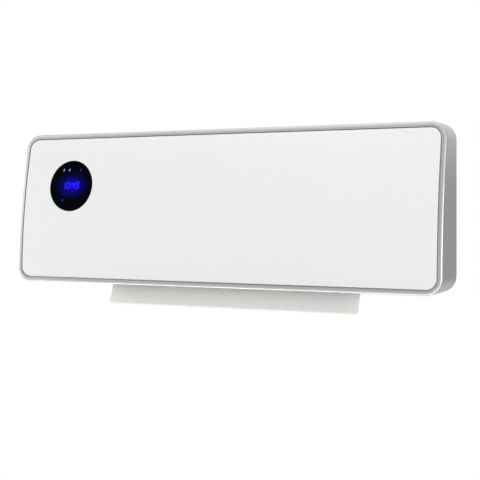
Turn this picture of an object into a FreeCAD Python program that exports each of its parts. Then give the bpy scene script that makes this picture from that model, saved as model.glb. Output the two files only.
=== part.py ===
import FreeCAD, Part
import math
import os

# Wall fan heater with a ceramic heating core: a white bowed panel in a silver casing, a round
# display at the left and a swinging flap under the air outlet. Millimetres, +Z up. The wall is the
# plane Y = 0, the front faces -Y, and X = 0, Z = 0 is the middle of the body's width and height.

V = FreeCAD.Vector
X_AXIS = V(1, 0, 0)
Y_AXIS = V(0, 1, 0)
Z_AXIS = V(0, 0, 1)

# General clearances
MARGIN = 2.0  # how far a cutting tool runs past the face it cuts
FIT_GAP = 0.3  # round pieces that drop into an opening
SEAT_GAP = 0.1  # between a seated piece and its seat
RUN_GAP = 0.05  # radial, between a turning shaft and its bore

# Body
BODY_WIDTH = 567.0
BODY_HEIGHT = 191.5
BODY_DEPTH = 110.0  # wall to the foremost line of the front, which is its lower edge
FRONT_LEAN = 23.0  # how far the top of the bowed front falls back
CORNER_RADIUS = 19.0

# Silver casing and the white panel set into it
CASING_DEPTH = 60.0  # foremost line back to the casing's rear edge
CASING_WALL = 2.5
CASING_EDGE_RADIUS = 1.6
BEZEL_WIDTH = 5.6
PANEL_GAP = 1.0  # shadow line between the bezel and the panel
PANEL_THICKNESS = 3.0
PANEL_EDGE_RADIUS = 0.8
LEDGE_WIDTH = 8.0  # ledge behind the panel's edge
LEDGE_THICKNESS = 2.5

# Rear housing, stepped in from the casing except along the bottom
HOUSING_INSET_SIDE = 14.0
HOUSING_INSET_TOP = 14.0
HOUSING_INSET_BOTTOM = 0.5
HOUSING_WALL = 2.0
HOUSING_CORNER_RADIUS = 14.0
FLANGE_THICKNESS = 3.0  # flange inside the casing's rear edge
RING_THICKNESS = 3.0  # plate behind the flange
RING_WIDTH = 4.0  # how far the plate stands inside the housing's walls

# Screws that hold the housing to the casing
POST_RADIUS = 4.0
POST_SIDE_HEIGHT = 60.0  # side posts above and below the middle
POST_TOP_SPACING = 180.0
SCREW_RADIUS = 1.5
SCREW_LENGTH = 12.0
SCREW_HEAD_RADIUS = 3.2
SCREW_HEAD_HEIGHT = 2.2
SCREW_SLOT_WIDTH = 0.9
SCREW_SLOT_DEPTH = 1.1
SCREW_SLOT_MARGIN = 0.5  # end of a slot to the head's edge

# Display
DISPLAY_RADIUS = 32.5
DISPLAY_FROM_LEFT = 77.3
DISPLAY_FROM_TOP = 67.7
LENS_GAP = 0.15
HOLDER_LIP = 1.5  # how far the holder stands inside the lens's edge
HOLDER_WALL = 4.0  # how far it stands outside the lens's edge
HOLDER_DEPTH = 11.0  # panel face to the back of the holder
BOARD_THICKNESS = 1.6
DIGITS_WIDTH = 34.0
DIGITS_HEIGHT = 15.0
DIGITS_FROM_LENS = 1.6
TOUCH_SPRING_RADIUS = 4.0
TOUCH_SPRING_WALL = 0.5
TOUCH_SPRING_INSET = 10.0  # lens's edge to the middle of a spring
TOUCH_SPRING_STEP = 42.0  # degrees between springs, below the digits
RECEIVER_WIDTH = 6.0
RECEIVER_HEIGHT = 7.0
RECEIVER_DEPTH = 5.0
RECEIVER_INSET = 15.5  # lens's edge to the middle of the receiver

# Flap under the outlet, and what turns it
FLAP_FROM_SIDE = 113.0  # body's side to the flap's end
FLAP_CHORD = 36.0  # hinge line to the flap's free edge
FLAP_THICKNESS = 2.5
FLAP_CORNER_RADIUS = 4.0  # at the ends of the free edge
FLAP_OPEN_ANGLE = 66.5  # from shut to the pose that is modelled
FLAP_HINGE_FROM_FRONT = 55.0  # behind the foremost line of the front
FLAP_END_GAP = 1.5
FLAP_EDGE_GAP = 1.0
FLAP_LUG_LENGTH = 3.0
FLAP_SOCKET_LENGTH = 10.0
FLAP_SOCKET_DEPTH = 8.0
FLAP_PIN_RADIUS = 2.5
FLAP_BUSH_WALL = 1.1
FLAP_BUSH_OVERHANG = 0.2
FLAP_BUSH_CLEARANCE = 0.4  # between the bush and the housing's floor
FLAP_MOTOR_RADIUS = 11.0
FLAP_MOTOR_LENGTH = 18.0
FLAP_MOTOR_OUTPUT_INSET = 3.0  # output shaft to the motor's edge
FLAP_MOTOR_EAR_REACH = 4.0  # motor's edge to the hole in its ear
FLAP_MOTOR_EAR_WIDTH = 7.0
FLAP_MOTOR_EAR_THICKNESS = 1.0
FLAP_MOTOR_STANDOFF = 2.0
FLAP_MOTOR_BORE = 8.0
FLAP_MOTOR_SCREW_RADIUS = 1.2
FLAP_MOTOR_WING_RIM = 1.0  # duct's wing beyond the motor's ear

# Air duct from the fan down to the outlet
DUCT_HEADROOM = 7.0  # duct's top above the heating core
DUCT_WALL = 2.0
DUCT_FLANGE_WIDTH = 5.0
DUCT_FLANGE_THICKNESS = 2.0
OUTLET_GRILLE_HEIGHT = 4.0
OUTLET_GRILLE_CLEARANCE = 1.0  # above the flap's knuckle
OUTLET_BAR_PITCH = 9.0
OUTLET_BAR_WIDTH = 2.0
OUTLET_RIM = 3.0

# Heating core: ceramic elements in flat tubes with zigzag fins between them
HEATER_HEIGHT = 26.0
HEATER_RISE = 4.5  # above the outlet grille
HEATER_TUBE_THICKNESS = 6.0
HEATER_TUBES = 2
HEATER_SIDE_GAP = 1.4
HEATER_HOLDER_LENGTH = 13.0
HEATER_TUBE_BITE = 6.0  # how far a tube reaches into its holder
FIN_PITCH = 7.0
FIN_FOLD = 2.4  # a fin's sheet at a fold, measured across its row
CUTOUT_RADIUS = 6.0
CUTOUT_HEIGHT = 9.0
FUSE_RADIUS = 2.0
FUSE_LENGTH = 14.0

# Cross-flow fan
FAN_RADIUS = 30.0
FAN_BLADE_DEPTH = 6.0
FAN_FROM_SIDE = 132.5  # body's side to the fan's end
FAN_BLADES = 28
FAN_BLADE_SHEET = 0.9
FAN_BLADE_SWEEP = 11.0  # degrees between a blade's inner and outer edge
FAN_DISC_THICKNESS = 2.0
FAN_RINGS = 2  # rings between the two ends
FAN_RISE = 20.0  # duct's top to the underside of the fan
FAN_HUB_RADIUS = 7.0
FAN_HUB_LENGTH = 12.0
FAN_AXLE_RADIUS = 3.0
FAN_AXLE_LENGTH = 8.0
FAN_END_GAP = 2.5  # fan's end to the bracket beside it
SHAFT_RADIUS = 2.5

# Fan motor, bearing and their brackets
BRACKET_SHEET = 2.0
BRACKET_FOOT_WIDTH = 14.0
BRACKET_FRONT_REACH = 28.0  # in front of the fan's axis
BRACKET_TOP_REACH = 30.0
BRACKET_FOOT_HEIGHT = 30.0
MOTOR_RADIUS = 23.0
MOTOR_LENGTH = 38.0
MOTOR_BOSS_RADIUS = 8.0
MOTOR_MOUNT_RADIUS = 4.0
MOTOR_MOUNT_LENGTH = 2.5
MOTOR_MOUNT_INSET = 7.0  # motor's edge to the middle of a mount
MOTOR_MOUNTS = 3
BEARING_RADIUS = 6.0
BEARING_LENGTH = 6.0
BEARING_RING_WALL = 3.0

# Scroll round the fan
SCROLL_SHEET = 2.0
SCROLL_GAP = 3.9
SCROLL_FOOT = 4.0  # upright stretch on the duct's wall
SCROLL_END_ANGLE = 70.0
SCROLL_END_CLEARANCE = 1.5
SCROLL_RIB_WIDTH = 3.0
SCROLL_RIB_HEIGHT = 10.0
SCROLL_RIB_FROM_END = 41.0  # sheet's end to the middle of an outer rib
TONGUE_ANGLE = 220.0
TONGUE_CURL = 10.0

# Intake grille on top of the rear housing
INTAKE_FROM_SIDE = 117.5  # body's side to the intake's end
INTAKE_FROM_FRONT = 7.7  # housing's front edge to the opening
INTAKE_FROM_WALL = 10.0
INTAKE_RIM = 4.0
INTAKE_THICKNESS = 1.5
INTAKE_BAR_PITCH = 8.0
INTAKE_BAR_WIDTH = 2.5

# Power board at the left, with its parts
POWER_BOARD_HEIGHT = 130.0
POWER_BOARD_FROM_SIDE = 6.0  # housing's inside to the board
POWER_BOARD_FROM_DUCT = 9.0
POWER_BOARD_STANDOFF = 12.0
BOARD_BOSS_RADIUS = 3.5
BOARD_BOSS_INSET = 6.0
RELAY_SIZE = (19.0, 16.0, 15.5)
RELAY_SPACING = 24.0
CAPACITOR_SIZE = (26.0, 18.0, 11.0)
TRANSFORMER_SIZE = (30.0, 22.0, 26.0)
TERMINAL_SIZE = (44.0, 12.0, 14.0)
TERMINAL_WAYS = 4
TERMINAL_SCREW_RADIUS = 2.4
SENSOR_RADIUS = 2.5
SENSOR_LENGTH = 14.0
SENSOR_FROM_DUCT = 4.0

# Wiring inside
LEAD_RADIUS = 1.5
LEAD_BEND = 4.0
LEAD_SPACING = 6.0
LEAD_FROM_EDGE = 4.0  # first lead to the edge of the power board
LEAD_STEP = 9.0  # how far a lead stands off the board before it turns
LEAD_FROM_BACK = 5.0
RIBBON_WIDTH = 10.0
RIBBON_THICKNESS = 0.8
RIBBON_STUB = 10.0  # straight stretch at each end
RIBBON_SLACK = 12.0

# Rocker switch and cord gland in the bottom of the rear housing
SWITCH_FROM_GLAND = 10.0  # gland's nut to the switch
SWITCH_LENGTH = 19.0
SWITCH_WIDTH = 13.0
SWITCH_RIM = 1.5
SWITCH_RIM_THICKNESS = 1.5
SWITCH_HEIGHT = 14.0
SWITCH_WALL = 1.8
ROCKER_DEPTH = 8.0
ROCKER_TILT = 9.0  # each way from level
ROCKER_PIN_RADIUS = 1.2
ROCKER_END_GAP = 0.6
ROCKER_SIDE_GAP = 0.3
ROCKER_PIVOT_RISE = 1.0  # above the housing's underside
ROCKER_TIP_DROP = 3.0
ROCKER_WAIST_DROP = 2.0
GLAND_FROM_LEFT = 42.0
GLAND_RADIUS = 6.0
GLAND_FLANGE_WIDTH = 2.0
GLAND_FLANGE_THICKNESS = 1.5
GLAND_NOSE_WALL = 1.4
GLAND_NOSE_LENGTH = 5.0
GLAND_BORE_RADIUS = 3.6
GLAND_BORE_STEP = 0.8  # wider bore above the housing's underside
GLAND_NUT_WALL = 2.5
GLAND_NUT_THICKNESS = 2.5
GLAND_NUT_SIDES = 6

# Steel bracket on the wall, in a pocket of the rear housing
PLATE_WIDTH = 280.0
PLATE_HEIGHT = 40.0
PLATE_SHEET = 1.5
PLATE_CORNER_RADIUS = 4.0
PLATE_RISE = 40.0  # middle of the plate above the middle of the body
PLATE_HOLE_RADIUS = 2.75
PLATE_HOLE_FROM_END = 20.0
PLATE_HOLE_FROM_EDGE = 10.0
POCKET_DEPTH = 6.0
POCKET_GAP = 2.0
HOOK_FROM_END = 50.0  # plate's end to the middle of a hook
HOOK_WIDTH = 20.0
HOOK_FROM_TOP = 8.0  # plate's top edge to the hook
HOOK_LIP_HEIGHT = 6.5
HOOK_LIP_GAP = 2.0  # between the pocket's floor and the hook's lip
HOOK_SLOT_DROP = 10.0
HOOK_SLOT_GAP = 2.0

# Worked out from the sizes above
HALF_WIDTH = BODY_WIDTH / 2
HALF_HEIGHT = BODY_HEIGHT / 2
BODY_Z = (-HALF_HEIGHT, HALF_HEIGHT)
FRONT_RADIUS = (BODY_HEIGHT**2 + FRONT_LEAN**2) / (2 * FRONT_LEAN)
CASING_REAR = -BODY_DEPTH + CASING_DEPTH
PANEL_SEAT = PANEL_THICKNESS + SEAT_GAP
DISPLAY_X = -HALF_WIDTH + DISPLAY_FROM_LEFT
DISPLAY_Z = HALF_HEIGHT - DISPLAY_FROM_TOP
HOUSING_HALF = HALF_WIDTH - HOUSING_INSET_SIDE
HOUSING_Z = (-HALF_HEIGHT + HOUSING_INSET_BOTTOM, HALF_HEIGHT - HOUSING_INSET_TOP)
HOUSING_FLOOR = HOUSING_Z[0] + HOUSING_WALL
HOUSING_BACK = -HOUSING_WALL
HOUSING_FRONT = CASING_REAR + FIT_GAP
FLANGE_FRONT = HOUSING_FRONT - FLANGE_THICKNESS
RING_REAR = HOUSING_FRONT + RING_THICKNESS
FLAP_BUSH_RADIUS = FLAP_PIN_RADIUS + FLAP_BUSH_WALL
HINGE_Y = -BODY_DEPTH + FLAP_HINGE_FROM_FRONT
HINGE_Z = HOUSING_FLOOR + FLAP_BUSH_RADIUS + FLAP_BUSH_CLEARANCE
FLAP_KNUCKLE_RADIUS = HINGE_Z - HOUSING_Z[0]
FLAP_HALF = HALF_WIDTH - FLAP_FROM_SIDE
DUCT_HALF = FLAP_HALF + FLAP_END_GAP
DUCT_OUTER_HALF = DUCT_HALF + DUCT_WALL
DUCT_Y = (HINGE_Y - FLAP_CHORD - FLAP_EDGE_GAP, HINGE_Y + FLAP_KNUCKLE_RADIUS + FLAP_EDGE_GAP)
DUCT_MIDDLE = sum(DUCT_Y) / 2
FLAP_MOTOR_X = DUCT_OUTER_HALF + FLAP_MOTOR_STANDOFF
FLAP_MOTOR_Z = HINGE_Z + FLAP_MOTOR_RADIUS - FLAP_MOTOR_OUTPUT_INSET
FLAP_MOTOR_EAR_SPACING = 2 * (FLAP_MOTOR_RADIUS + FLAP_MOTOR_EAR_REACH)
GRILLE_BOTTOM = HINGE_Z + FLAP_KNUCKLE_RADIUS + OUTLET_GRILLE_CLEARANCE
HEATER_BOTTOM = GRILLE_BOTTOM + OUTLET_GRILLE_HEIGHT + HEATER_RISE
HEATER_Z = (HEATER_BOTTOM, HEATER_BOTTOM + HEATER_HEIGHT)
DUCT_Z = (HOUSING_Z[0], HEATER_Z[1] + DUCT_HEADROOM)
HEATER_Y = (DUCT_Y[0] + HEATER_SIDE_GAP, DUCT_Y[1] - HEATER_SIDE_GAP)
HEATER_HALF = DUCT_HALF - HEATER_HOLDER_LENGTH - SEAT_GAP
FIN_ROWS = HEATER_TUBES + 1
FIN_WIDTH = (HEATER_Y[1] - HEATER_Y[0] - HEATER_TUBES * HEATER_TUBE_THICKNESS) / FIN_ROWS
PLATE_BOTTOM = PLATE_RISE - PLATE_HEIGHT / 2
FAN_Y = -BODY_DEPTH / 2
FAN_Z = DUCT_Z[1] + FAN_RISE + FAN_RADIUS
FAN_HALF = HALF_WIDTH - FAN_FROM_SIDE
FAN_INNER_RADIUS = FAN_RADIUS - FAN_BLADE_DEPTH
BRACKET_X = FAN_HALF + FAN_END_GAP
BRACKET_FOOT_Z = (FAN_Z - BRACKET_FOOT_HEIGHT, PLATE_BOTTOM - POCKET_GAP - HOUSING_WALL - MARGIN)
BEARING_RING_RADIUS = BEARING_RADIUS + BEARING_RING_WALL
MOTOR_X = BRACKET_X + BRACKET_SHEET + MOTOR_MOUNT_LENGTH
SCROLL_RADIUS = FAN_RADIUS + SCROLL_GAP
SCROLL_HALF = BRACKET_X - SCROLL_END_CLEARANCE
SCROLL_RIB_SPACING = SCROLL_HALF - SCROLL_RIB_FROM_END
POWER_BOARD_X = (
    -HOUSING_HALF + HOUSING_WALL + POWER_BOARD_FROM_SIDE,
    -DUCT_OUTER_HALF - POWER_BOARD_FROM_DUCT,
)
POWER_BOARD_MIDDLE = sum(POWER_BOARD_X) / 2
POWER_BOARD_Z = (sum(HOUSING_Z) / 2 - POWER_BOARD_HEIGHT / 2, sum(HOUSING_Z) / 2 + POWER_BOARD_HEIGHT / 2)
TERMINAL_Z = POWER_BOARD_Z[0] + BOARD_BOSS_INSET + TERMINAL_SIZE[1]
POWER_BOARD_BACK = HOUSING_BACK - POWER_BOARD_STANDOFF
POWER_BOARD_FACE = POWER_BOARD_BACK - BOARD_THICKNESS
ROCKER_Z = HOUSING_Z[0] + ROCKER_PIVOT_RISE
GLAND_X = -HALF_WIDTH + GLAND_FROM_LEFT
GLAND_Y = (RING_REAR + HOUSING_BACK) / 2
GLAND_NUT_RADIUS = GLAND_RADIUS + GLAND_NUT_WALL
SWITCH_X = GLAND_X + GLAND_NUT_RADIUS + SWITCH_FROM_GLAND + SWITCH_LENGTH / 2
SWITCH_Y = GLAND_Y
INTAKE_HALF = HALF_WIDTH - INTAKE_FROM_SIDE
INTAKE_Y = (HOUSING_FRONT + INTAKE_FROM_FRONT, -INTAKE_FROM_WALL)
PLATE_HALF = PLATE_WIDTH / 2
PLATE_Z = (PLATE_BOTTOM, PLATE_BOTTOM + PLATE_HEIGHT)
POCKET_FLOOR = -POCKET_DEPTH
PLATE_HOLE_X = PLATE_HALF - PLATE_HOLE_FROM_END
PLATE_HOLE_RISE = PLATE_HEIGHT / 2 - PLATE_HOLE_FROM_EDGE
HOOK_X = PLATE_HALF - HOOK_FROM_END
HOOK_Z = PLATE_Z[1] - HOOK_FROM_TOP


# Shapes that many pieces are made from


def box(x_range, y_range, z_range):
    """A block between the given ends along each axis."""
    ranges = (x_range, y_range, z_range)
    return Part.makeBox(*[high - low for low, high in ranges], V(*[low for low, high in ranges]))


def around(middle, size):
    """The two ends of a length centred on a place."""
    return (middle - size / 2, middle + size / 2)


def rod_x(radius, x_range, y, z):
    return Part.makeCylinder(radius, x_range[1] - x_range[0], V(x_range[0], y, z), X_AXIS)


def rod_y(radius, y_range, x, z):
    return Part.makeCylinder(radius, y_range[1] - y_range[0], V(x, y_range[0], z), Y_AXIS)


def rod_z(radius, z_range, x, y):
    return Part.makeCylinder(radius, z_range[1] - z_range[0], V(x, y, z_range[0]), Z_AXIS)


def line(start, end):
    return Part.LineSegment(start, end).toShape()


def arc(start, through, end):
    return Part.Arc(start, through, end).toShape()


def slab(half_width, z_range, radius, y_range):
    """A rectangle with round corners, seen from the front, with its depth along Y."""
    low, high = z_range
    bulge = radius * (1 - math.sqrt(0.5))  # corner of the box to the middle of the round
    edges = []
    corners = [(1, low), (1, high), (-1, high), (-1, low)]
    for number, (side, z) in enumerate(corners):
        inward = 1 if z == low else -1
        at_side = V(side * half_width, y_range[0], z + inward * radius)
        at_end = V(side * (half_width - radius), y_range[0], z)
        through = V(side * (half_width - bulge), y_range[0], z + inward * bulge)
        start, end = (at_end, at_side) if number % 2 == 0 else (at_side, at_end)
        if edges:
            edges.append(line(last, start))
        else:
            first = start
        edges.append(arc(start, through, end))
        last = end
    edges.append(line(last, first))
    return Part.Face(Part.Wire(edges)).extrude(V(0, y_range[1] - y_range[0], 0))


def behind_front(inset):
    """Everything behind the bowed front, set in by the given depth."""
    start = V(-HALF_WIDTH - MARGIN, -BODY_DEPTH + FRONT_RADIUS, -HALF_HEIGHT)
    return Part.makeCylinder(FRONT_RADIUS - inset, BODY_WIDTH + 2 * MARGIN, start, X_AXIS)


def front_y(z, inset=0.0):
    """Where the bowed front is at a height."""
    rise = z + HALF_HEIGHT
    return -BODY_DEPTH + FRONT_RADIUS - math.sqrt((FRONT_RADIUS - inset) ** 2 - rise**2)


def front_edges(shape):
    """The edges of a shape that lie on the bowed front."""
    found = []
    for edge in shape.Edges:
        middle = edge.valueAt((edge.FirstParameter + edge.LastParameter) / 2)
        if abs(middle.y - front_y(middle.z)) < SEAT_GAP:
            found.append(edge)
    return found


def band(edges, thickness):
    """A sheet that follows a line drawn across the heater, as a face."""
    return Part.Wire(edges).makeOffset2D(thickness, 0, True, True)


def fuse(first, *others):
    return first.fuse(list(others)).removeSplitter()


def along_x(face, half_length):
    """A face drawn at X = 0, as a solid that reaches as far each way."""
    solid = face.extrude(V(2 * half_length, 0, 0))
    solid.translate(V(-half_length, 0, 0))
    return solid


def slots(x_half, y_range, z_range, pitch, bar, rim):
    """Cutting tools for a row of slots that run front to back, evenly spaced between two rims."""
    count = int((2 * (x_half - rim) + bar) / pitch)
    tools = []
    for number in range(count):
        middle = (number - (count - 1) / 2) * pitch
        tools.append(box(around(middle, pitch - bar), (y_range[0] + rim, y_range[1] - rim), z_range))
    return tools


def save(name, *shapes):
    """Writes a node, after checking that each of its solids is sound."""
    solids = [solid for shape in shapes for solid in shape.Solids]
    for solid in solids:
        if not solid.isValid() or solid.Volume <= 0:
            raise ValueError(f"{name} has a bad solid")
    Part.makeCompound(solids).exportStep(f"parts/{name}.step")


# Casing and panel


def post_places():
    """Where the screws between housing and casing stand: two at each side and three along the top."""
    side_x = (HOUSING_HALF + HALF_WIDTH - CASING_WALL) / 2
    top_z = (HOUSING_Z[1] + HALF_HEIGHT - CASING_WALL) / 2
    sides = [(side * side_x, up * POST_SIDE_HEIGHT) for side in (-1, 1) for up in (-1, 1)]
    return sides + [(number * POST_TOP_SPACING, top_z) for number in (-1, 0, 1)]


def duct_opening():
    """Cutting tool for the outlet's mouth in the bottom of the casing and the housing."""
    return box(
        (-DUCT_OUTER_HALF - FIT_GAP, DUCT_OUTER_HALF + FIT_GAP),
        (DUCT_Y[0] - DUCT_WALL - FIT_GAP, DUCT_Y[1] + DUCT_WALL + FIT_GAP),
        (-HALF_HEIGHT - MARGIN, DUCT_Z[1]),
    )


def inset_slab(inset, y_range):
    """The body's outline, drawn in by the same distance all round."""
    z_range = (BODY_Z[0] + inset, BODY_Z[1] - inset)
    return slab(HALF_WIDTH - inset, z_range, CORNER_RADIUS - inset, y_range)


def front_casing():
    through = (-BODY_DEPTH - MARGIN, CASING_REAR)
    shell = inset_slab(0.0, through).common(behind_front(0.0))
    shell = shell.makeFillet(CASING_EDGE_RADIUS, front_edges(shell))
    past_rear = (through[0], CASING_REAR + MARGIN)
    cavity = inset_slab(CASING_WALL, past_rear).common(behind_front(PANEL_SEAT + LEDGE_THICKNESS))
    recess = inset_slab(BEZEL_WIDTH, through).cut(behind_front(PANEL_SEAT))
    window = inset_slab(BEZEL_WIDTH + LEDGE_WIDTH, through)
    casing = shell.cut([cavity, recess, window, duct_opening()])
    post_end = FLANGE_FRONT - SEAT_GAP
    for x, z in post_places():
        post = rod_y(POST_RADIUS, (-BODY_DEPTH, post_end), x, z).common(behind_front(PANEL_SEAT))
        pilot = rod_y(SCREW_RADIUS + RUN_GAP, (post_end - SCREW_LENGTH, post_end), x, z)
        casing = fuse(casing, post).cut(pilot)
    return casing


def front_panel():
    outline = inset_slab(BEZEL_WIDTH + PANEL_GAP, (-BODY_DEPTH - MARGIN, CASING_REAR))
    plate = outline.common(behind_front(0.0))
    plate = plate.makeFillet(PANEL_EDGE_RADIUS, front_edges(plate))
    plate = plate.cut(behind_front(PANEL_THICKNESS))
    hole = rod_y(DISPLAY_RADIUS + LENS_GAP, (-BODY_DEPTH, CASING_REAR), DISPLAY_X, DISPLAY_Z)
    return plate.cut(hole)


def screw(x, y, z):
    """A pan-head screw driven in from the back, with the underside of its head at the given place."""
    shank = rod_y(SCREW_RADIUS, (y - SCREW_LENGTH, y), x, z)
    head = rod_y(SCREW_HEAD_RADIUS, (y, y + SCREW_HEAD_HEIGHT), x, z)
    top = y + SCREW_HEAD_HEIGHT
    slot_y = (top - SCREW_SLOT_DEPTH, top + MARGIN)
    slot_length = 2 * (SCREW_HEAD_RADIUS - SCREW_SLOT_MARGIN)
    long_slot = box(around(x, slot_length), slot_y, around(z, SCREW_SLOT_WIDTH))
    cross_slot = box(around(x, SCREW_SLOT_WIDTH), slot_y, around(z, slot_length))
    return fuse(shank, head).cut([long_slot, cross_slot])


def casing_screws():
    return [screw(x, HOUSING_FRONT, z) for x, z in post_places()]


# Display


def on_display(shape):
    """Takes a shape drawn with the panel's face at Y = 0 to its place behind the leaning panel."""
    lean = math.degrees(math.asin((DISPLAY_Z + HALF_HEIGHT) / FRONT_RADIUS))
    place = V(DISPLAY_X, front_y(DISPLAY_Z), DISPLAY_Z)
    shape.Placement = FreeCAD.Placement(place, FreeCAD.Rotation(X_AXIS, -lean))
    return shape


def display_lens():
    disc = rod_y(DISPLAY_RADIUS, (-BODY_DEPTH, CASING_REAR), DISPLAY_X, DISPLAY_Z)
    return disc.common(behind_front(0.0)).cut(behind_front(PANEL_THICKNESS))


def display_holder():
    depth = (0.0, HOLDER_DEPTH)
    ring = rod_y(DISPLAY_RADIUS + HOLDER_WALL, depth, 0, 0)
    bore = rod_y(DISPLAY_RADIUS - HOLDER_LIP, depth, 0, 0)
    return on_display(ring.cut(bore)).common(behind_front(PANEL_THICKNESS + SEAT_GAP))


def board_depth():
    """Front and back of the display's board, behind the panel's face."""
    return (HOLDER_DEPTH + SEAT_GAP, HOLDER_DEPTH + SEAT_GAP + BOARD_THICKNESS)


def display_board():
    return on_display(rod_y(DISPLAY_RADIUS + HOLDER_WALL, board_depth(), 0, 0))


def led_digit_module():
    depth = (PANEL_THICKNESS + DIGITS_FROM_LENS, board_depth()[0] - SEAT_GAP)
    return on_display(box(around(0, DIGITS_WIDTH), depth, around(0, DIGITS_HEIGHT)))


def touch_springs():
    circle = DISPLAY_RADIUS - TOUCH_SPRING_INSET
    depth = (0.0, board_depth()[0] - SEAT_GAP)
    springs = []
    for number in (-1, 0, 1):
        angle = math.radians(number * TOUCH_SPRING_STEP)
        place = (circle * math.sin(angle), -circle * math.cos(angle))
        outside = rod_y(TOUCH_SPRING_RADIUS, depth, *place)
        inside = rod_y(TOUCH_SPRING_RADIUS - TOUCH_SPRING_WALL, depth, *place)
        springs.append(on_display(outside.cut(inside)).common(behind_front(PANEL_SEAT)))
    return springs


def ir_receiver():
    depth = (board_depth()[0] - RECEIVER_DEPTH, board_depth()[0] - SEAT_GAP)
    block = box(around(0, RECEIVER_WIDTH), depth, around(DISPLAY_RADIUS - RECEIVER_INSET, RECEIVER_HEIGHT))
    return on_display(block)


# Rear housing


def housing_slab(inset, y_range):
    z_range = (HOUSING_Z[0] + inset, HOUSING_Z[1] - inset)
    return slab(HOUSING_HALF - inset, z_range, HOUSING_CORNER_RADIUS - inset, y_range)


def board_boss_places():
    x_places = (POWER_BOARD_X[0] + BOARD_BOSS_INSET, POWER_BOARD_X[1] - BOARD_BOSS_INSET)
    z_places = (POWER_BOARD_Z[0] + BOARD_BOSS_INSET, POWER_BOARD_Z[1] - BOARD_BOSS_INSET)
    return [(x, z) for x in x_places for z in z_places]


def bracket_pocket(housing):
    """Sinks the pocket for the wall bracket into the back, with a slot for each hook."""
    half = PLATE_HALF + POCKET_GAP
    z_range = (PLATE_Z[0] - POCKET_GAP, PLATE_Z[1] + POCKET_GAP)
    tray = box(
        (-half - HOUSING_WALL, half + HOUSING_WALL),
        (POCKET_FLOOR - HOUSING_WALL, HOUSING_BACK / 2),
        (z_range[0] - HOUSING_WALL, z_range[1] + HOUSING_WALL),
    )
    housing = fuse(housing, tray).cut(box((-half, half), (POCKET_FLOOR, MARGIN), z_range))
    for side in (-1, 1):
        slot_x = around(side * HOOK_X, HOOK_WIDTH + 2 * HOOK_SLOT_GAP)
        slot_z = (HOOK_Z - HOOK_SLOT_DROP, HOOK_Z + SEAT_GAP)
        housing = housing.cut(box(slot_x, (POCKET_FLOOR - HOUSING_WALL - MARGIN, 0), slot_z))
    return housing


def rear_housing():
    shell = housing_slab(0.0, (HOUSING_FRONT, 0))
    flange = inset_slab(CASING_WALL + FIT_GAP, (FLANGE_FRONT, HOUSING_FRONT))
    cavity = housing_slab(HOUSING_WALL, (RING_REAR, HOUSING_BACK))
    window = housing_slab(HOUSING_WALL + RING_WIDTH, (FLANGE_FRONT - MARGIN, RING_REAR + MARGIN))
    drive_half = FLAP_MOTOR_X + FLAP_MOTOR_LENGTH + MARGIN
    drive_room = box(
        (-drive_half, drive_half), (FLANGE_FRONT - MARGIN, RING_REAR), (HOUSING_FLOOR, DUCT_Z[1])
    )
    intake = box(
        (-INTAKE_HALF, INTAKE_HALF),
        INTAKE_Y,
        (HOUSING_Z[1] - HOUSING_WALL - MARGIN, HOUSING_Z[1] + MARGIN),
    )
    switch_hole = box(
        around(SWITCH_X, SWITCH_LENGTH + 2 * SEAT_GAP),
        around(SWITCH_Y, SWITCH_WIDTH + 2 * SEAT_GAP),
        (HOUSING_Z[0] - MARGIN, HOUSING_FLOOR + MARGIN),
    )
    gland_hole = rod_z(
        GLAND_RADIUS + SEAT_GAP, (HOUSING_Z[0] - MARGIN, HOUSING_FLOOR + MARGIN), GLAND_X, GLAND_Y
    )
    screw_holes = [
        rod_y(SCREW_RADIUS + FIT_GAP, (FLANGE_FRONT - MARGIN, HOUSING_FRONT + MARGIN), x, z)
        for x, z in post_places()
    ]
    openings = [cavity, window, drive_room, duct_opening(), intake, switch_hole, gland_hole]
    housing = fuse(shell, flange).cut(openings + screw_holes)
    housing = bracket_pocket(housing)
    bosses = [
        rod_y(BOARD_BOSS_RADIUS, (POWER_BOARD_BACK, HOUSING_BACK / 2), x, z)
        for x, z in board_boss_places()
    ]
    pilots = [
        rod_y(SCREW_RADIUS + RUN_GAP, (POWER_BOARD_BACK, HOUSING_BACK - SEAT_GAP), x, z)
        for x, z in board_boss_places()
    ]
    return fuse(housing, *bosses).cut(pilots)


def intake_grille():
    """Slotted cover that drops into the opening on top of the housing."""
    half = INTAKE_HALF
    top = HOUSING_Z[1]
    cover = box(
        (-half - INTAKE_RIM, half + INTAKE_RIM),
        (INTAKE_Y[0] - INTAKE_RIM, INTAKE_Y[1] + INTAKE_RIM),
        (top, top + INTAKE_THICKNESS),
    )
    inner = (INTAKE_Y[0] + FIT_GAP, INTAKE_Y[1] - FIT_GAP)
    skirt = box((-half + FIT_GAP, half - FIT_GAP), inner, (top - HOUSING_WALL, top))
    through = (top - HOUSING_WALL - MARGIN, top + INTAKE_THICKNESS + MARGIN)
    tools = slots(half, inner, through, INTAKE_BAR_PITCH, INTAKE_BAR_WIDTH, INTAKE_RIM / 2)
    return fuse(cover, skirt).cut(tools)


# Duct and outlet


def flap_ear_places():
    """Height and depth of the two screws that hold the flap's motor."""
    return [(HINGE_Y + side * FLAP_MOTOR_EAR_SPACING / 2, FLAP_MOTOR_Z) for side in (-1, 1)]


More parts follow.
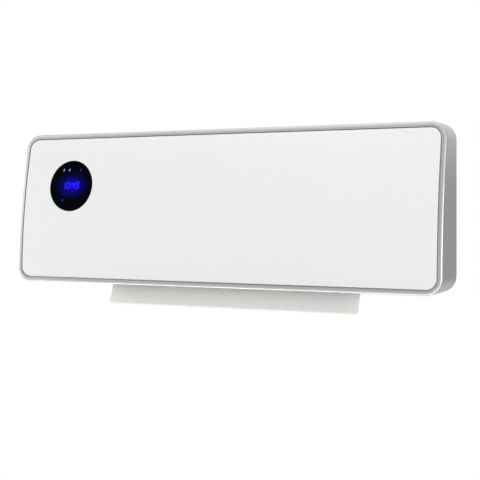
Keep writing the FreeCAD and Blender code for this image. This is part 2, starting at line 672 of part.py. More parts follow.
def air_duct():
    walls = box(
        (-DUCT_OUTER_HALF, DUCT_OUTER_HALF), (DUCT_Y[0] - DUCT_WALL, DUCT_Y[1] + DUCT_WALL), DUCT_Z
    )
    inside = box((-DUCT_HALF, DUCT_HALF), DUCT_Y, (DUCT_Z[0] - MARGIN, DUCT_Z[1] + MARGIN))
    flange_z = (HOUSING_FLOOR + SEAT_GAP, HOUSING_FLOOR + SEAT_GAP + DUCT_FLANGE_THICKNESS)
    front = DUCT_Y[0] - DUCT_WALL
    rear = DUCT_Y[1] + DUCT_WALL
    front_flange = box((-DUCT_HALF, DUCT_HALF), (front - DUCT_FLANGE_WIDTH, front), flange_z)
    rear_flange = box((-DUCT_HALF, DUCT_HALF), (rear, rear + DUCT_FLANGE_WIDTH), flange_z)
    motor_feet = [
        rod_x(FLAP_MOTOR_EAR_WIDTH / 2, (DUCT_HALF, FLAP_MOTOR_X), y, z) for y, z in flap_ear_places()
    ]
    foot_pilots = [
        rod_x(FLAP_MOTOR_SCREW_RADIUS + RUN_GAP, (DUCT_HALF + SEAT_GAP, FLAP_MOTOR_X), y, z)
        for y, z in flap_ear_places()
    ]
    wing = box(
        (DUCT_HALF, DUCT_OUTER_HALF),
        (DUCT_Y[1], flap_ear_places()[1][0] + FLAP_MOTOR_EAR_WIDTH / 2 + FLAP_MOTOR_WING_RIM),
        around(FLAP_MOTOR_Z, FLAP_MOTOR_EAR_WIDTH + 2 * FLAP_MOTOR_WING_RIM),
    )
    lead_holes = [
        rod_x(LEAD_RADIUS + FIT_GAP, (-DUCT_OUTER_HALF - MARGIN, -DUCT_HALF), y, z)
        for y, z in heater_lead_ends()
    ]
    bush_hole = rod_x(
        FLAP_BUSH_RADIUS + RUN_GAP, (-DUCT_OUTER_HALF - MARGIN, -DUCT_HALF + MARGIN), HINGE_Y, HINGE_Z
    )
    shaft_hole = rod_x(
        FLAP_PIN_RADIUS + FIT_GAP, (DUCT_HALF - MARGIN, DUCT_OUTER_HALF + MARGIN), HINGE_Y, HINGE_Z
    )
    duct = fuse(walls, front_flange, rear_flange, wing, *motor_feet)
    return duct.cut([inside, bush_hole, shaft_hole, *foot_pilots, *lead_holes])


def outlet_grille():
    """Finger guard across the duct, above the flap."""
    half = DUCT_HALF - SEAT_GAP
    y_range = (DUCT_Y[0] + SEAT_GAP, DUCT_Y[1] - SEAT_GAP)
    z_range = (GRILLE_BOTTOM, GRILLE_BOTTOM + OUTLET_GRILLE_HEIGHT)
    through = (z_range[0] - MARGIN, z_range[1] + MARGIN)
    tools = slots(half, y_range, through, OUTLET_BAR_PITCH, OUTLET_BAR_WIDTH, OUTLET_RIM)
    return box((-half, half), y_range, z_range).cut(tools)


def open_flap(shape):
    """Takes a shape drawn about a hinge at the origin, with the flap shut, to its open place."""
    turn = FreeCAD.Rotation(X_AXIS, FLAP_OPEN_ANGLE)
    shape.Placement = FreeCAD.Placement(V(0, HINGE_Y, HINGE_Z), turn)
    return shape


def flap_section():
    """The flap cut across: a flat blade with a round free edge, curled up behind the hinge."""
    outer = FLAP_KNUCKLE_RADIUS
    inner = FLAP_KNUCKLE_RADIUS - FLAP_THICKNESS
    tip = FLAP_THICKNESS / 2
    tip_start = -FLAP_CHORD + tip
    slant = math.sqrt(0.5)
    edges = [
        line(V(0, tip_start, -outer), V(0, 0, -outer)),
        arc(V(0, 0, -outer), V(0, outer * slant, -outer * slant), V(0, outer, 0)),
        line(V(0, outer, 0), V(0, inner, 0)),
        arc(V(0, inner, 0), V(0, inner * slant, -inner * slant), V(0, 0, -inner)),
        line(V(0, 0, -inner), V(0, tip_start, -inner)),
        arc(V(0, tip_start, -inner), V(0, -FLAP_CHORD, -inner - tip), V(0, tip_start, -outer)),
    ]
    return Part.Face(Part.Wire(edges))


def flap_corners():
    """Cutting tools that round the two free corners of the shut flap."""
    z_range = (-FLAP_KNUCKLE_RADIUS - MARGIN, -FLAP_KNUCKLE_RADIUS + FLAP_THICKNESS + MARGIN)
    round_y = -FLAP_CHORD + FLAP_CORNER_RADIUS
    tools = []
    for side in (-1, 1):
        round_x = side * (FLAP_HALF - FLAP_CORNER_RADIUS)
        x_range = sorted((round_x, side * (FLAP_HALF + MARGIN)))
        corner = box(x_range, (-FLAP_CHORD - MARGIN, round_y), z_range)
        tools.append(corner.cut(rod_z(FLAP_CORNER_RADIUS, z_range, round_x, round_y)))
    return tools


def outlet_flap():
    blade = along_x(flap_section(), FLAP_HALF)
    left_lug = rod_x(FLAP_KNUCKLE_RADIUS, (-FLAP_HALF, -FLAP_HALF + FLAP_LUG_LENGTH), 0, 0)
    right_lug = rod_x(FLAP_KNUCKLE_RADIUS, (FLAP_HALF - FLAP_SOCKET_LENGTH, FLAP_HALF), 0, 0)
    pin_end = -DUCT_OUTER_HALF - FLAP_BUSH_OVERHANG
    left_pin = rod_x(FLAP_PIN_RADIUS, (pin_end, -FLAP_HALF), 0, 0)
    socket_x = (FLAP_HALF - FLAP_SOCKET_DEPTH, FLAP_HALF + MARGIN)
    socket = rod_x(FLAP_PIN_RADIUS + RUN_GAP, socket_x, 0, 0)
    return open_flap(fuse(blade, left_lug, right_lug, left_pin).cut([socket, *flap_corners()]))


def flap_drive_shaft():
    x_range = (FLAP_HALF - FLAP_SOCKET_DEPTH, FLAP_MOTOR_X + FLAP_MOTOR_BORE - SEAT_GAP)
    return rod_x(FLAP_PIN_RADIUS, x_range, HINGE_Y, HINGE_Z)


def flap_bush():
    x_range = (-DUCT_OUTER_HALF - FLAP_BUSH_OVERHANG, -DUCT_HALF)
    outside = rod_x(FLAP_BUSH_RADIUS, x_range, HINGE_Y, HINGE_Z)
    return outside.cut(rod_x(FLAP_PIN_RADIUS + RUN_GAP, x_range, HINGE_Y, HINGE_Z))


def flap_motor():
    """Flat stepper motor with its output beside the middle and an ear at each side."""
    start = FLAP_MOTOR_X
    can = rod_x(FLAP_MOTOR_RADIUS, (start, start + FLAP_MOTOR_LENGTH), HINGE_Y, FLAP_MOTOR_Z)
    ear_x = (start, start + FLAP_MOTOR_EAR_THICKNESS)
    ears = box(ear_x, around(HINGE_Y, FLAP_MOTOR_EAR_SPACING), around(FLAP_MOTOR_Z, FLAP_MOTOR_EAR_WIDTH))
    tips = [rod_x(FLAP_MOTOR_EAR_WIDTH / 2, ear_x, y, z) for y, z in flap_ear_places()]
    boss = rod_x(FLAP_BUSH_RADIUS, (DUCT_OUTER_HALF + FIT_GAP, start), HINGE_Y, HINGE_Z)
    bore_x = (DUCT_OUTER_HALF, start + FLAP_MOTOR_BORE)
    bore = rod_x(FLAP_PIN_RADIUS + RUN_GAP, bore_x, HINGE_Y, HINGE_Z)
    past_ear = (start - MARGIN, start + FLAP_MOTOR_EAR_THICKNESS + MARGIN)
    holes = [rod_x(FLAP_MOTOR_SCREW_RADIUS + FIT_GAP, past_ear, y, z) for y, z in flap_ear_places()]
    return fuse(can, ears, boss, *tips).cut([bore, *holes])


def flap_motor_screws():
    head_x = FLAP_MOTOR_X + FLAP_MOTOR_EAR_THICKNESS
    screws = []
    for y, z in flap_ear_places():
        shank = rod_x(FLAP_MOTOR_SCREW_RADIUS, (DUCT_HALF + 2 * SEAT_GAP, head_x), y, z)
        head = rod_x(2 * FLAP_MOTOR_SCREW_RADIUS, (head_x, head_x + SCREW_HEAD_HEIGHT), y, z)
        screws.append(fuse(shank, head))
    return screws


# Heating core


def tube_places():
    """Depth range of each flat tube, with a row of fins on both its sides."""
    places = []
    for number in range(HEATER_TUBES):
        start = HEATER_Y[0] + FIN_WIDTH + number * (FIN_WIDTH + HEATER_TUBE_THICKNESS)
        places.append((start, start + HEATER_TUBE_THICKNESS))
    return places


def ptc_elements():
    half = HEATER_HALF + HEATER_TUBE_BITE
    return [box((-half, half), y_range, HEATER_Z) for y_range in tube_places()]


def heater_fins():
    """Zigzag strips that touch the tubes at each fold."""
    folds = int(2 * HEATER_HALF / (FIN_PITCH / 2))
    rows = []
    for number in range(FIN_ROWS):
        start = HEATER_Y[0] + number * (FIN_WIDTH + HEATER_TUBE_THICKNESS)
        ends = (start, start + FIN_WIDTH - FIN_FOLD)
        path = [
            V((fold - folds / 2) * FIN_PITCH / 2, ends[fold % 2], HEATER_Z[0]) for fold in range(folds + 1)
        ]
        back = [point + V(0, FIN_FOLD, 0) for point in reversed(path)]
        outline = Part.makePolygon(path + back + path[:1])
        rows.append(Part.Face(outline).extrude(V(0, 0, HEATER_HEIGHT)))
    return rows


def heater_holders():
    """A moulded block at each end of the core, with a pocket for each tube."""
    holders = []
    for side in (-1, 1):
        x_ends = sorted((side * HEATER_HALF, side * (HEATER_HALF + HEATER_HOLDER_LENGTH)))
        block = box(x_ends, (DUCT_Y[0] + SEAT_GAP, DUCT_Y[1] - SEAT_GAP), HEATER_Z)
        pocket_end = HEATER_HALF + HEATER_TUBE_BITE + SEAT_GAP
        pocket_x = sorted((side * (HEATER_HALF - MARGIN), side * pocket_end))
        pocket_z = (HEATER_Z[0] - MARGIN, HEATER_Z[1] + MARGIN)
        tools = [
            box(pocket_x, (low - SEAT_GAP, high + SEAT_GAP), pocket_z) for low, high in tube_places()
        ]
        holders.append(block.cut(tools))
    return holders


def holder_middle(side):
    return side * (HEATER_HALF + HEATER_HOLDER_LENGTH - CUTOUT_RADIUS)


def thermal_cutout():
    """Bimetal disc switch that stands on the left holder."""
    place = (holder_middle(-1), HEATER_Y[0] + FIN_WIDTH / 2)
    base = rod_z(CUTOUT_RADIUS, (HEATER_Z[1], HEATER_Z[1] + CUTOUT_HEIGHT / 2), *place)
    cap = rod_z(CUTOUT_RADIUS / 2, (HEATER_Z[1], HEATER_Z[1] + CUTOUT_HEIGHT), *place)
    return fuse(base, cap)


def thermal_fuse():
    """One-shot fuse that lies on the right holder."""
    return rod_y(FUSE_RADIUS, around(DUCT_MIDDLE, FUSE_LENGTH), holder_middle(1), HEATER_Z[1] + FUSE_RADIUS)


# Fan


def around_fan(radius, degrees):
    """A point at an angle round the fan's axis, drawn at X = 0."""
    angle = math.radians(degrees)
    return V(0, FAN_Y + radius * math.cos(angle), FAN_Z + radius * math.sin(angle))


def fan_blade(number):
    turn = 360.0 * number / FAN_BLADES
    middle_radius = (FAN_INNER_RADIUS + FAN_RADIUS) / 2
    start = around_fan(FAN_INNER_RADIUS, turn)
    through = around_fan(middle_radius, turn + FAN_BLADE_SWEEP / 3)
    end = around_fan(FAN_RADIUS - SEAT_GAP, turn + FAN_BLADE_SWEEP)
    return along_x(band([arc(start, through, end)], FAN_BLADE_SHEET), FAN_HALF - FAN_DISC_THICKNESS / 2)


def fan_wheel():
    """Cross-flow wheel: discs and rings joined by curved blades, an axle at the left, a hub at the right."""
    sheet = FAN_DISC_THICKNESS
    left_disc = rod_x(FAN_RADIUS, (-FAN_HALF, -FAN_HALF + sheet), FAN_Y, FAN_Z)
    right_disc = rod_x(FAN_RADIUS, (FAN_HALF - sheet, FAN_HALF), FAN_Y, FAN_Z)
    axle = rod_x(FAN_AXLE_RADIUS, (-FAN_HALF - FAN_AXLE_LENGTH, -FAN_HALF), FAN_Y, FAN_Z)
    hub = rod_x(FAN_HUB_RADIUS, (FAN_HALF - FAN_HUB_LENGTH, FAN_HALF), FAN_Y, FAN_Z)
    rings = []
    for number in range(1, FAN_RINGS + 1):
        middle = -FAN_HALF + number * 2 * FAN_HALF / (FAN_RINGS + 1)
        ring = rod_x(FAN_RADIUS, around(middle, sheet), FAN_Y, FAN_Z)
        bore = rod_x(FAN_INNER_RADIUS - sheet, around(middle, sheet), FAN_Y, FAN_Z)
        rings.append(ring.cut(bore))
    blades = [fan_blade(number) for number in range(FAN_BLADES)]
    bore = rod_x(SHAFT_RADIUS + RUN_GAP, (FAN_HALF - FAN_HUB_LENGTH, FAN_HALF + MARGIN), FAN_Y, FAN_Z)
    return left_disc.fuse([right_disc, axle, hub, *rings, *blades]).cut(bore)


def motor_shaft():
    x_range = (FAN_HALF - FAN_HUB_LENGTH, MOTOR_X + MOTOR_LENGTH - MARGIN)
    return rod_x(SHAFT_RADIUS, x_range, FAN_Y, FAN_Z)


def fan_motor():
    can = rod_x(MOTOR_RADIUS, (MOTOR_X, MOTOR_X + MOTOR_LENGTH), FAN_Y, FAN_Z)
    can = can.makeFillet(MARGIN, [edge for edge in can.Edges if edge.BoundBox.XLength < SEAT_GAP])
    boss = rod_x(MOTOR_BOSS_RADIUS, (BRACKET_X, MOTOR_X), FAN_Y, FAN_Z)
    bore_x = (BRACKET_X - MARGIN, MOTOR_X + MOTOR_LENGTH - MARGIN + SEAT_GAP)
    return fuse(can, boss).cut(rod_x(SHAFT_RADIUS + RUN_GAP, bore_x, FAN_Y, FAN_Z))


def end_bracket(side, hole_radius):
    """Sheet across one end of the fan, with a foot against the back of the housing."""
    sheet_x = sorted((side * BRACKET_X, side * (BRACKET_X + BRACKET_SHEET)))
    foot_x = sorted((side * BRACKET_X, side * (BRACKET_X + BRACKET_FOOT_WIDTH)))
    back = HOUSING_BACK - SEAT_GAP
    sheet_z = (DUCT_Z[1] + SEAT_GAP, FAN_Z + BRACKET_TOP_REACH)
    sheet = box(sheet_x, (FAN_Y - BRACKET_FRONT_REACH, back - POCKET_DEPTH - BRACKET_SHEET), sheet_z)
    web = box(sheet_x, (FAN_Y, back), BRACKET_FOOT_Z)
    foot = box(foot_x, (back - BRACKET_SHEET, back), BRACKET_FOOT_Z)
    hole = rod_x(hole_radius, (sheet_x[0] - MARGIN, sheet_x[1] + MARGIN), FAN_Y, FAN_Z)
    return fuse(sheet, web, foot).cut(hole)


def motor_bracket():
    return end_bracket(1, MOTOR_BOSS_RADIUS + FIT_GAP)


def bearing_bracket():
    return end_bracket(-1, BEARING_RING_RADIUS + SEAT_GAP)


def motor_mounts():
    """Rubber buttons between the motor and its bracket."""
    x_range = (BRACKET_X + BRACKET_SHEET, MOTOR_X)
    mounts = []
    for number in range(MOTOR_MOUNTS):
        place = around_fan(MOTOR_RADIUS - MOTOR_MOUNT_INSET, 90 + 360.0 * number / MOTOR_MOUNTS)
        mounts.append(rod_x(MOTOR_MOUNT_RADIUS, x_range, place.y, place.z))
    return mounts


def bearing_tube(outer, inner):
    """A ring in the left bracket, between two radii."""
    x_range = around(-BRACKET_X - BRACKET_SHEET / 2, BEARING_LENGTH - MARGIN)
    return rod_x(outer, x_range, FAN_Y, FAN_Z).cut(rod_x(inner, x_range, FAN_Y, FAN_Z))


def fan_bearing():
    return bearing_tube(BEARING_RADIUS, FAN_AXLE_RADIUS + RUN_GAP)


def bearing_ring():
    return bearing_tube(BEARING_RING_RADIUS, BEARING_RADIUS + RUN_GAP)


def rear_scroll():
    """Sheet behind the fan: up from the duct's rear wall, then round the fan to its top."""
    start = V(0, DUCT_Y[1], DUCT_Z[1] + SEAT_GAP)
    foot_top = start + V(0, 0, SCROLL_FOOT)
    from_axis = foot_top - V(0, FAN_Y, FAN_Z)
    heading = math.degrees(math.atan2(from_axis.z, from_axis.y))
    touch = heading + math.degrees(math.acos(SCROLL_RADIUS / from_axis.Length))
    edges = [
        line(start, foot_top),
        line(foot_top, around_fan(SCROLL_RADIUS, touch)),
        arc(
            around_fan(SCROLL_RADIUS, touch),
            around_fan(SCROLL_RADIUS, (touch + SCROLL_END_ANGLE) / 2),
            around_fan(SCROLL_RADIUS, SCROLL_END_ANGLE),
        ),
    ]
    sheet = along_x(band(edges, SCROLL_SHEET), SCROLL_HALF)
    ribs = []
    for number in (-1, 0, 1):
        rib_y = (FAN_Y + SCROLL_RADIUS + SCROLL_SHEET / 2, HOUSING_BACK - SEAT_GAP)
        rib_z = (FAN_Z - SCROLL_RIB_HEIGHT, FAN_Z)
        ribs.append(box(around(number * SCROLL_RIB_SPACING, SCROLL_RIB_WIDTH), rib_y, rib_z))
    return fuse(sheet, *ribs)


def scroll_tongue():
    """Sheet in front of the fan, from the duct's front wall to a curled lip."""
    start = V(0, DUCT_Y[0], DUCT_Z[1] + SEAT_GAP)
    foot_top = start + V(0, 0, SCROLL_FOOT)
    nose = around_fan(SCROLL_RADIUS, TONGUE_ANGLE)
    lip = nose + V(0, -TONGUE_CURL, TONGUE_CURL / 2)
    edges = [line(start, foot_top), line(foot_top, nose), line(nose, lip)]
    return along_x(band(edges, -SCROLL_SHEET), SCROLL_HALF)


# Power board


def power_board():
    board = box(POWER_BOARD_X, (POWER_BOARD_FACE, POWER_BOARD_BACK), POWER_BOARD_Z)
    holes = [
        rod_y(SCREW_RADIUS + FIT_GAP, (POWER_BOARD_FACE - MARGIN, POWER_BOARD_BACK + MARGIN), x, z)
        for x, z in board_boss_places()
    ]
    return board.cut(holes)


def on_power_board(size, x, z):
    """A block that stands on the front of the power board."""
    width, height, depth = size
    return box(around(x, width), (POWER_BOARD_FACE - depth, POWER_BOARD_FACE), around(z, height))


def relays():
    places = [POWER_BOARD_MIDDLE + side * RELAY_SPACING / 2 for side in (-1, 1)]
    return [on_power_board(RELAY_SIZE, x, sum(POWER_BOARD_Z) / 2) for x in places]


def power_transformer():
    relay_top = around(sum(POWER_BOARD_Z) / 2, RELAY_SIZE[1])[1]
    return on_power_board(TRANSFORMER_SIZE, POWER_BOARD_MIDDLE, (relay_top + POWER_BOARD_Z[1]) / 2)


def filter_capacitor():
    relay_bottom = around(sum(POWER_BOARD_Z) / 2, RELAY_SIZE[1])[0]
    terminal_top = TERMINAL_Z + TERMINAL_SIZE[1] / 2
    return on_power_board(CAPACITOR_SIZE, POWER_BOARD_MIDDLE, (relay_bottom + terminal_top) / 2)


def terminal_block():
    width, _, depth = TERMINAL_SIZE
    block = on_power_board(TERMINAL_SIZE, POWER_BOARD_MIDDLE, TERMINAL_Z)
    face = POWER_BOARD_FACE - depth
    wells = []
    for number in range(TERMINAL_WAYS):
        x = POWER_BOARD_MIDDLE + (number - (TERMINAL_WAYS - 1) / 2) * width / TERMINAL_WAYS
        wells.append(rod_y(TERMINAL_SCREW_RADIUS, (face - MARGIN, face + depth / 2), x, TERMINAL_Z))
    return block.cut(wells)


def power_board_screws():
    screws = []
    for x, z in board_boss_places():
        shank_end = HOUSING_BACK - 2 * SEAT_GAP
        shank = rod_y(SCREW_RADIUS, (POWER_BOARD_FACE, shank_end), x, z)
        head_y = (POWER_BOARD_FACE - SCREW_HEAD_HEIGHT, POWER_BOARD_FACE)
        screws.append(fuse(shank, rod_y(SCREW_HEAD_RADIUS, head_y, x, z)))
    return screws


def room_sensor():
    """Thermistor bead on the housing's floor, beside the duct."""
    end = -DUCT_OUTER_HALF - SENSOR_FROM_DUCT
    height = HOUSING_FLOOR + SEAT_GAP + SENSOR_RADIUS
    return rod_x(SENSOR_RADIUS, (end - SENSOR_LENGTH, end), SWITCH_Y, height)


# Wiring


def lead(points):
    """A round wire along straight runs joined by bends."""
    edges = []
    start = points[0]
    for before, corner, after in zip(points, points[1:], points[2:]):
        into = (corner - before).normalize()
        out = (after - corner).normalize()
        half_turn = into.getAngle(out) / 2
        reach = LEAD_BEND * math.tan(half_turn)
        inward = (out - into).normalize()
        middle = corner + inward * (LEAD_BEND / math.cos(half_turn) - LEAD_BEND)
        edges.append(line(start, corner - into * reach))
        edges.append(arc(corner - into * reach, middle, corner + out * reach))
        start = corner + out * reach
    edges.append(line(start, points[-1]))
    ring = Part.Wire([Part.makeCircle(LEAD_RADIUS, points[0], points[1] - points[0])])
    return Part.Wire(edges).makePipeShell([ring], True, False)


def heater_lead_ends():
    """Depth and height where the leads pass the duct's left wall, one for each tube."""
    return [(sum(y_range) / 2, sum(HEATER_Z) / 2) for y_range in tube_places()]


def heater_leads():
    """From the power board to the left ends of the ceramic elements."""
    leads = []
    for number, (y, z) in enumerate(heater_lead_ends()):
        x = POWER_BOARD_X[1] - LEAD_FROM_EDGE - number * LEAD_SPACING
        leads.append(lead([V(x, POWER_BOARD_FACE, z), V(x, y, z), V(-DUCT_HALF, y, z)]))
    return leads


def motor_lead():
    """From the power board, along the back under the brackets' feet, to the fan's motor."""
    z = BRACKET_FOOT_Z[0] - LEAD_SPACING
    start_x = POWER_BOARD_X[1] - LEAD_FROM_EDGE
    side_x = start_x + LEAD_FROM_EDGE + LEAD_SPACING
    step_y = POWER_BOARD_FACE - LEAD_STEP
    back_y = HOUSING_BACK - LEAD_FROM_BACK
    end_x = MOTOR_X + MOTOR_LENGTH / 2
    return lead(
        [
            V(start_x, POWER_BOARD_FACE, z),
            V(start_x, step_y, z),
            V(side_x, step_y, z),
            V(side_x, back_y, z),
            V(end_x, back_y, z),
            V(end_x, back_y, FAN_Z),
            V(end_x, FAN_Y + MOTOR_RADIUS + SEAT_GAP, FAN_Z),
        ]
    )


def display_ribbon():
    """Flat cable with some slack, from the back of the display's board to the power board."""
    lean = math.asin((DISPLAY_Z + HALF_HEIGHT) / FRONT_RADIUS)
    inward = V(0, math.cos(lean), -math.sin(lean))
    start = V(0, front_y(DISPLAY_Z), DISPLAY_Z) + inward * (board_depth()[1] + SEAT_GAP)
    bend_start = start + inward * RIBBON_STUB
    end = V(0, POWER_BOARD_FACE - SEAT_GAP, bend_start.z)
    bend_end = end - V(0, RIBBON_STUB, 0)
    sag = (bend_start + bend_end) / 2 - V(0, 0, RIBBON_SLACK)
    edges = [line(start, bend_start), arc(bend_start, sag, bend_end), line(bend_end, end)]
    strip = band(edges, RIBBON_THICKNESS).extrude(V(RIBBON_WIDTH, 0, 0))
    relay_edge = POWER_BOARD_MIDDLE + (RELAY_SPACING + RELAY_SIZE[0]) / 2
    strip.translate(V((relay_edge + POWER_BOARD_X[1] - RIBBON_WIDTH) / 2, 0, 0))
    return strip


# Switch, gland and wall bracket


def power_switch_frame():
    bottom = HOUSING_Z[0]
    rim = box(
        around(SWITCH_X, SWITCH_LENGTH + 2 * SWITCH_RIM),
        around(SWITCH_Y, SWITCH_WIDTH + 2 * SWITCH_RIM),
        (bottom - SWITCH_RIM_THICKNESS, bottom),
    )
    case = box(
        around(SWITCH_X, SWITCH_LENGTH), around(SWITCH_Y, SWITCH_WIDTH), (bottom, bottom + SWITCH_HEIGHT)
    )
    well = box(
        around(SWITCH_X, SWITCH_LENGTH - 2 * SWITCH_WALL),
        around(SWITCH_Y, SWITCH_WIDTH - 2 * SWITCH_WALL),
        (bottom - SWITCH_RIM_THICKNESS - MARGIN, bottom + ROCKER_DEPTH),
    )
    pin_y = around(SWITCH_Y, SWITCH_WIDTH - SWITCH_WALL)
    pin_holes = rod_y(ROCKER_PIN_RADIUS + RUN_GAP, pin_y, SWITCH_X, ROCKER_Z)
    return fuse(rim, case).cut([well, pin_holes])


def power_rocker():
    """Button with a hollowed face, tilted to one side, on a pin through its middle."""
    half = SWITCH_LENGTH / 2 - SWITCH_WALL - ROCKER_END_GAP
    width = SWITCH_WIDTH - 2 * SWITCH_WALL - 2 * ROCKER_SIDE_GAP
    outline = [
        V(-half, -width / 2, -ROCKER_TIP_DROP),
        V(0, -width / 2, -ROCKER_WAIST_DROP),
        V(half, -width / 2, -ROCKER_TIP_DROP),
        V(half, -width / 2, ROCKER_PIN_RADIUS),
        V(half / 2, -width / 2, ROCKER_DEPTH / 2),
        V(-half / 2, -width / 2, ROCKER_DEPTH / 2),
        V(-half, -width / 2, ROCKER_PIN_RADIUS),
    ]
    button = Part.Face(Part.makePolygon(outline + outline[:1])).extrude(V(0, width, 0))
    pin = rod_y(ROCKER_PIN_RADIUS, around(0, SWITCH_WIDTH - SWITCH_WALL - 2 * SEAT_GAP), 0, 0)
    rocker = fuse(button, pin)
    rocker.Placement = FreeCAD.Placement(
        V(SWITCH_X, SWITCH_Y, ROCKER_Z), FreeCAD.Rotation(Y_AXIS, ROCKER_TILT)
    )
    return rocker


def cord_gland():
    """Tapered entry for the mains lead, pushed up through the housing's floor."""
    bottom = HOUSING_Z[0]
    flange_z = (bottom - GLAND_FLANGE_THICKNESS, bottom)
    flange = rod_z(GLAND_RADIUS + GLAND_FLANGE_WIDTH, flange_z, GLAND_X, GLAND_Y)
    stem_top = HOUSING_FLOOR + GLAND_NUT_THICKNESS + MARGIN
    stem = rod_z(GLAND_RADIUS, (bottom, stem_top), GLAND_X, GLAND_Y)
    nose_end = flange_z[0] - GLAND_NOSE_LENGTH
    tip_radius = GLAND_BORE_RADIUS + GLAND_NOSE_WALL
    nose_place = V(GLAND_X, GLAND_Y, nose_end)
    nose = Part.makeCone(tip_radius, GLAND_RADIUS, GLAND_NOSE_LENGTH, nose_place, Z_AXIS)
    bore = rod_z(GLAND_BORE_RADIUS, (nose_end - MARGIN, bottom), GLAND_X, GLAND_Y)
    inner_radius = GLAND_BORE_RADIUS + GLAND_BORE_STEP
    inner = rod_z(inner_radius, (flange_z[1] - SEAT_GAP, stem_top + MARGIN), GLAND_X, GLAND_Y)
    return fuse(flange, stem, nose).cut([bore, inner])


def gland_nut():
    z_range = (HOUSING_FLOOR + SEAT_GAP, HOUSING_FLOOR + SEAT_GAP + GLAND_NUT_THICKNESS)
    corners = []
    for number in range(GLAND_NUT_SIDES + 1):
        angle = 2 * math.pi * number / GLAND_NUT_SIDES
        offset = V(GLAND_NUT_RADIUS * math.cos(angle), GLAND_NUT_RADIUS * math.sin(angle), 0)
        corners.append(V(GLAND_X, GLAND_Y, z_range[0]) + offset)
    block = Part.Face(Part.makePolygon(corners)).extrude(V(0, 0, GLAND_NUT_THICKNESS))
    return block.cut(rod_z(GLAND_RADIUS + RUN_GAP, z_range, GLAND_X, GLAND_Y))


def wall_bracket():
    """Pressed plate with four screw holes and two hooks that the housing hangs on."""
    plate = slab(PLATE_HALF, PLATE_Z, PLATE_CORNER_RADIUS, (-PLATE_SHEET, 0))
    holes = [
        rod_y(
            PLATE_HOLE_RADIUS,
            (-PLATE_SHEET - MARGIN, MARGIN),
            side * PLATE_HOLE_X,
            PLATE_RISE + up * PLATE_HOLE_RISE,
        )
        for side in (-1, 1)
        for up in (-1, 1)
    ]
    hooks = []
    lip_back = POCKET_FLOOR - HOUSING_WALL - HOOK_LIP_GAP
    lip_front = lip_back - PLATE_SHEET
    for side in (-1, 1):
        hook_x = around(side * HOOK_X, HOOK_WIDTH)
        hooks.append(box(hook_x, (lip_front, -PLATE_SHEET / 2), (HOOK_Z - PLATE_SHEET, HOOK_Z)))
        hooks.append(box(hook_x, (lip_front, lip_back), (HOOK_Z - PLATE_SHEET, HOOK_Z + HOOK_LIP_HEIGHT)))
    return fuse(plate, *hooks).cut(holes)


SINGLE_NODES = [
    front_casing,
    front_panel,
    display_lens,
    display_holder,
    display_board,
    led_digit_module,
    ir_receiver,
    rear_housing,
    intake_grille,
    air_duct,
    outlet_grille,
    outlet_flap,
    flap_drive_shaft,
    flap_bush,
    flap_motor,
    fan_wheel,
    motor_shaft,
    fan_motor,
    motor_bracket,
    bearing_bracket,
    fan_bearing,
    bearing_ring,
    rear_scroll,
    scroll_tongue,
    thermal_cutout,
    thermal_fuse,
    power_board,
    power_transformer,
    filter_capacitor,
    terminal_block,
    room_sensor,
    motor_lead,
    display_ribbon,
    power_switch_frame,
    power_rocker,
    cord_gland,
    gland_nut,
    wall_bracket,
]
GROUP_NODES = [
    casing_screws,
    touch_springs,
    flap_motor_screws,
    ptc_elements,
    heater_fins,
    heater_holders,
    heater_leads,
    motor_mounts,
    relays,
    power_board_screws,
]


def main():
    os.makedirs("parts", exist_ok=True)
    for make in SINGLE_NODES:
        save(make.__name__, make())
    for make in GROUP_NODES:
        save(make.__name__, *make())


if __name__ == "__main__":
    main()
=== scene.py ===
"""Looks of the ceramic wall fan heater: finishes, soft edges, lit clock, screws and studio."""

import math

import bmesh
import bpy
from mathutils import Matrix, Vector
from mathutils.bvhtree import BVHTree


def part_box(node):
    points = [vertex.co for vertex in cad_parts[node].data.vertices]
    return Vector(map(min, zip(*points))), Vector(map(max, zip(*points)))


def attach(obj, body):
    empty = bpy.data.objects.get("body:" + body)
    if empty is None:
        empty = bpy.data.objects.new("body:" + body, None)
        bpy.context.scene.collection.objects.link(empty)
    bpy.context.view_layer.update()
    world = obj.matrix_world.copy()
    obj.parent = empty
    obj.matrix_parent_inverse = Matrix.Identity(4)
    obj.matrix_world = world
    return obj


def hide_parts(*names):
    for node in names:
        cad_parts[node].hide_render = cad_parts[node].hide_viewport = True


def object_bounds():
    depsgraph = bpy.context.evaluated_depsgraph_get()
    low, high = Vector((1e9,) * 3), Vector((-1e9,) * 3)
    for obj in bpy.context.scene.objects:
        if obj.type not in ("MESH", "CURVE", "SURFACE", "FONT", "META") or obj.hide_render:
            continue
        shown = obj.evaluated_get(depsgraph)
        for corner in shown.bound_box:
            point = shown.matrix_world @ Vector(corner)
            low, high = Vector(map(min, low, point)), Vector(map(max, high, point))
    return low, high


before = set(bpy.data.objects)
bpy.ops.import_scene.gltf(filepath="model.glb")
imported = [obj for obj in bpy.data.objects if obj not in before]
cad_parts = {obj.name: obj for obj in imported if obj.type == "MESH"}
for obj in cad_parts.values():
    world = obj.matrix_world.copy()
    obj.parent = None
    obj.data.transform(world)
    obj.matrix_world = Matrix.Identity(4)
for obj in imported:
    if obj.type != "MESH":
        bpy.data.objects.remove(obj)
CAD_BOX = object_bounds()

MM = 0.001  # metres in a millimetre

# Front of the heater: it falls back in an arc from its bottom edge to its top
FRONT_LEAN = 23 * MM
CASING_LOW, CASING_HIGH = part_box("front_casing")
FRONT_HEIGHT = CASING_HIGH.z - CASING_LOW.z
FRONT_RADIUS = (FRONT_HEIGHT**2 + FRONT_LEAN**2) / (2 * FRONT_LEAN)

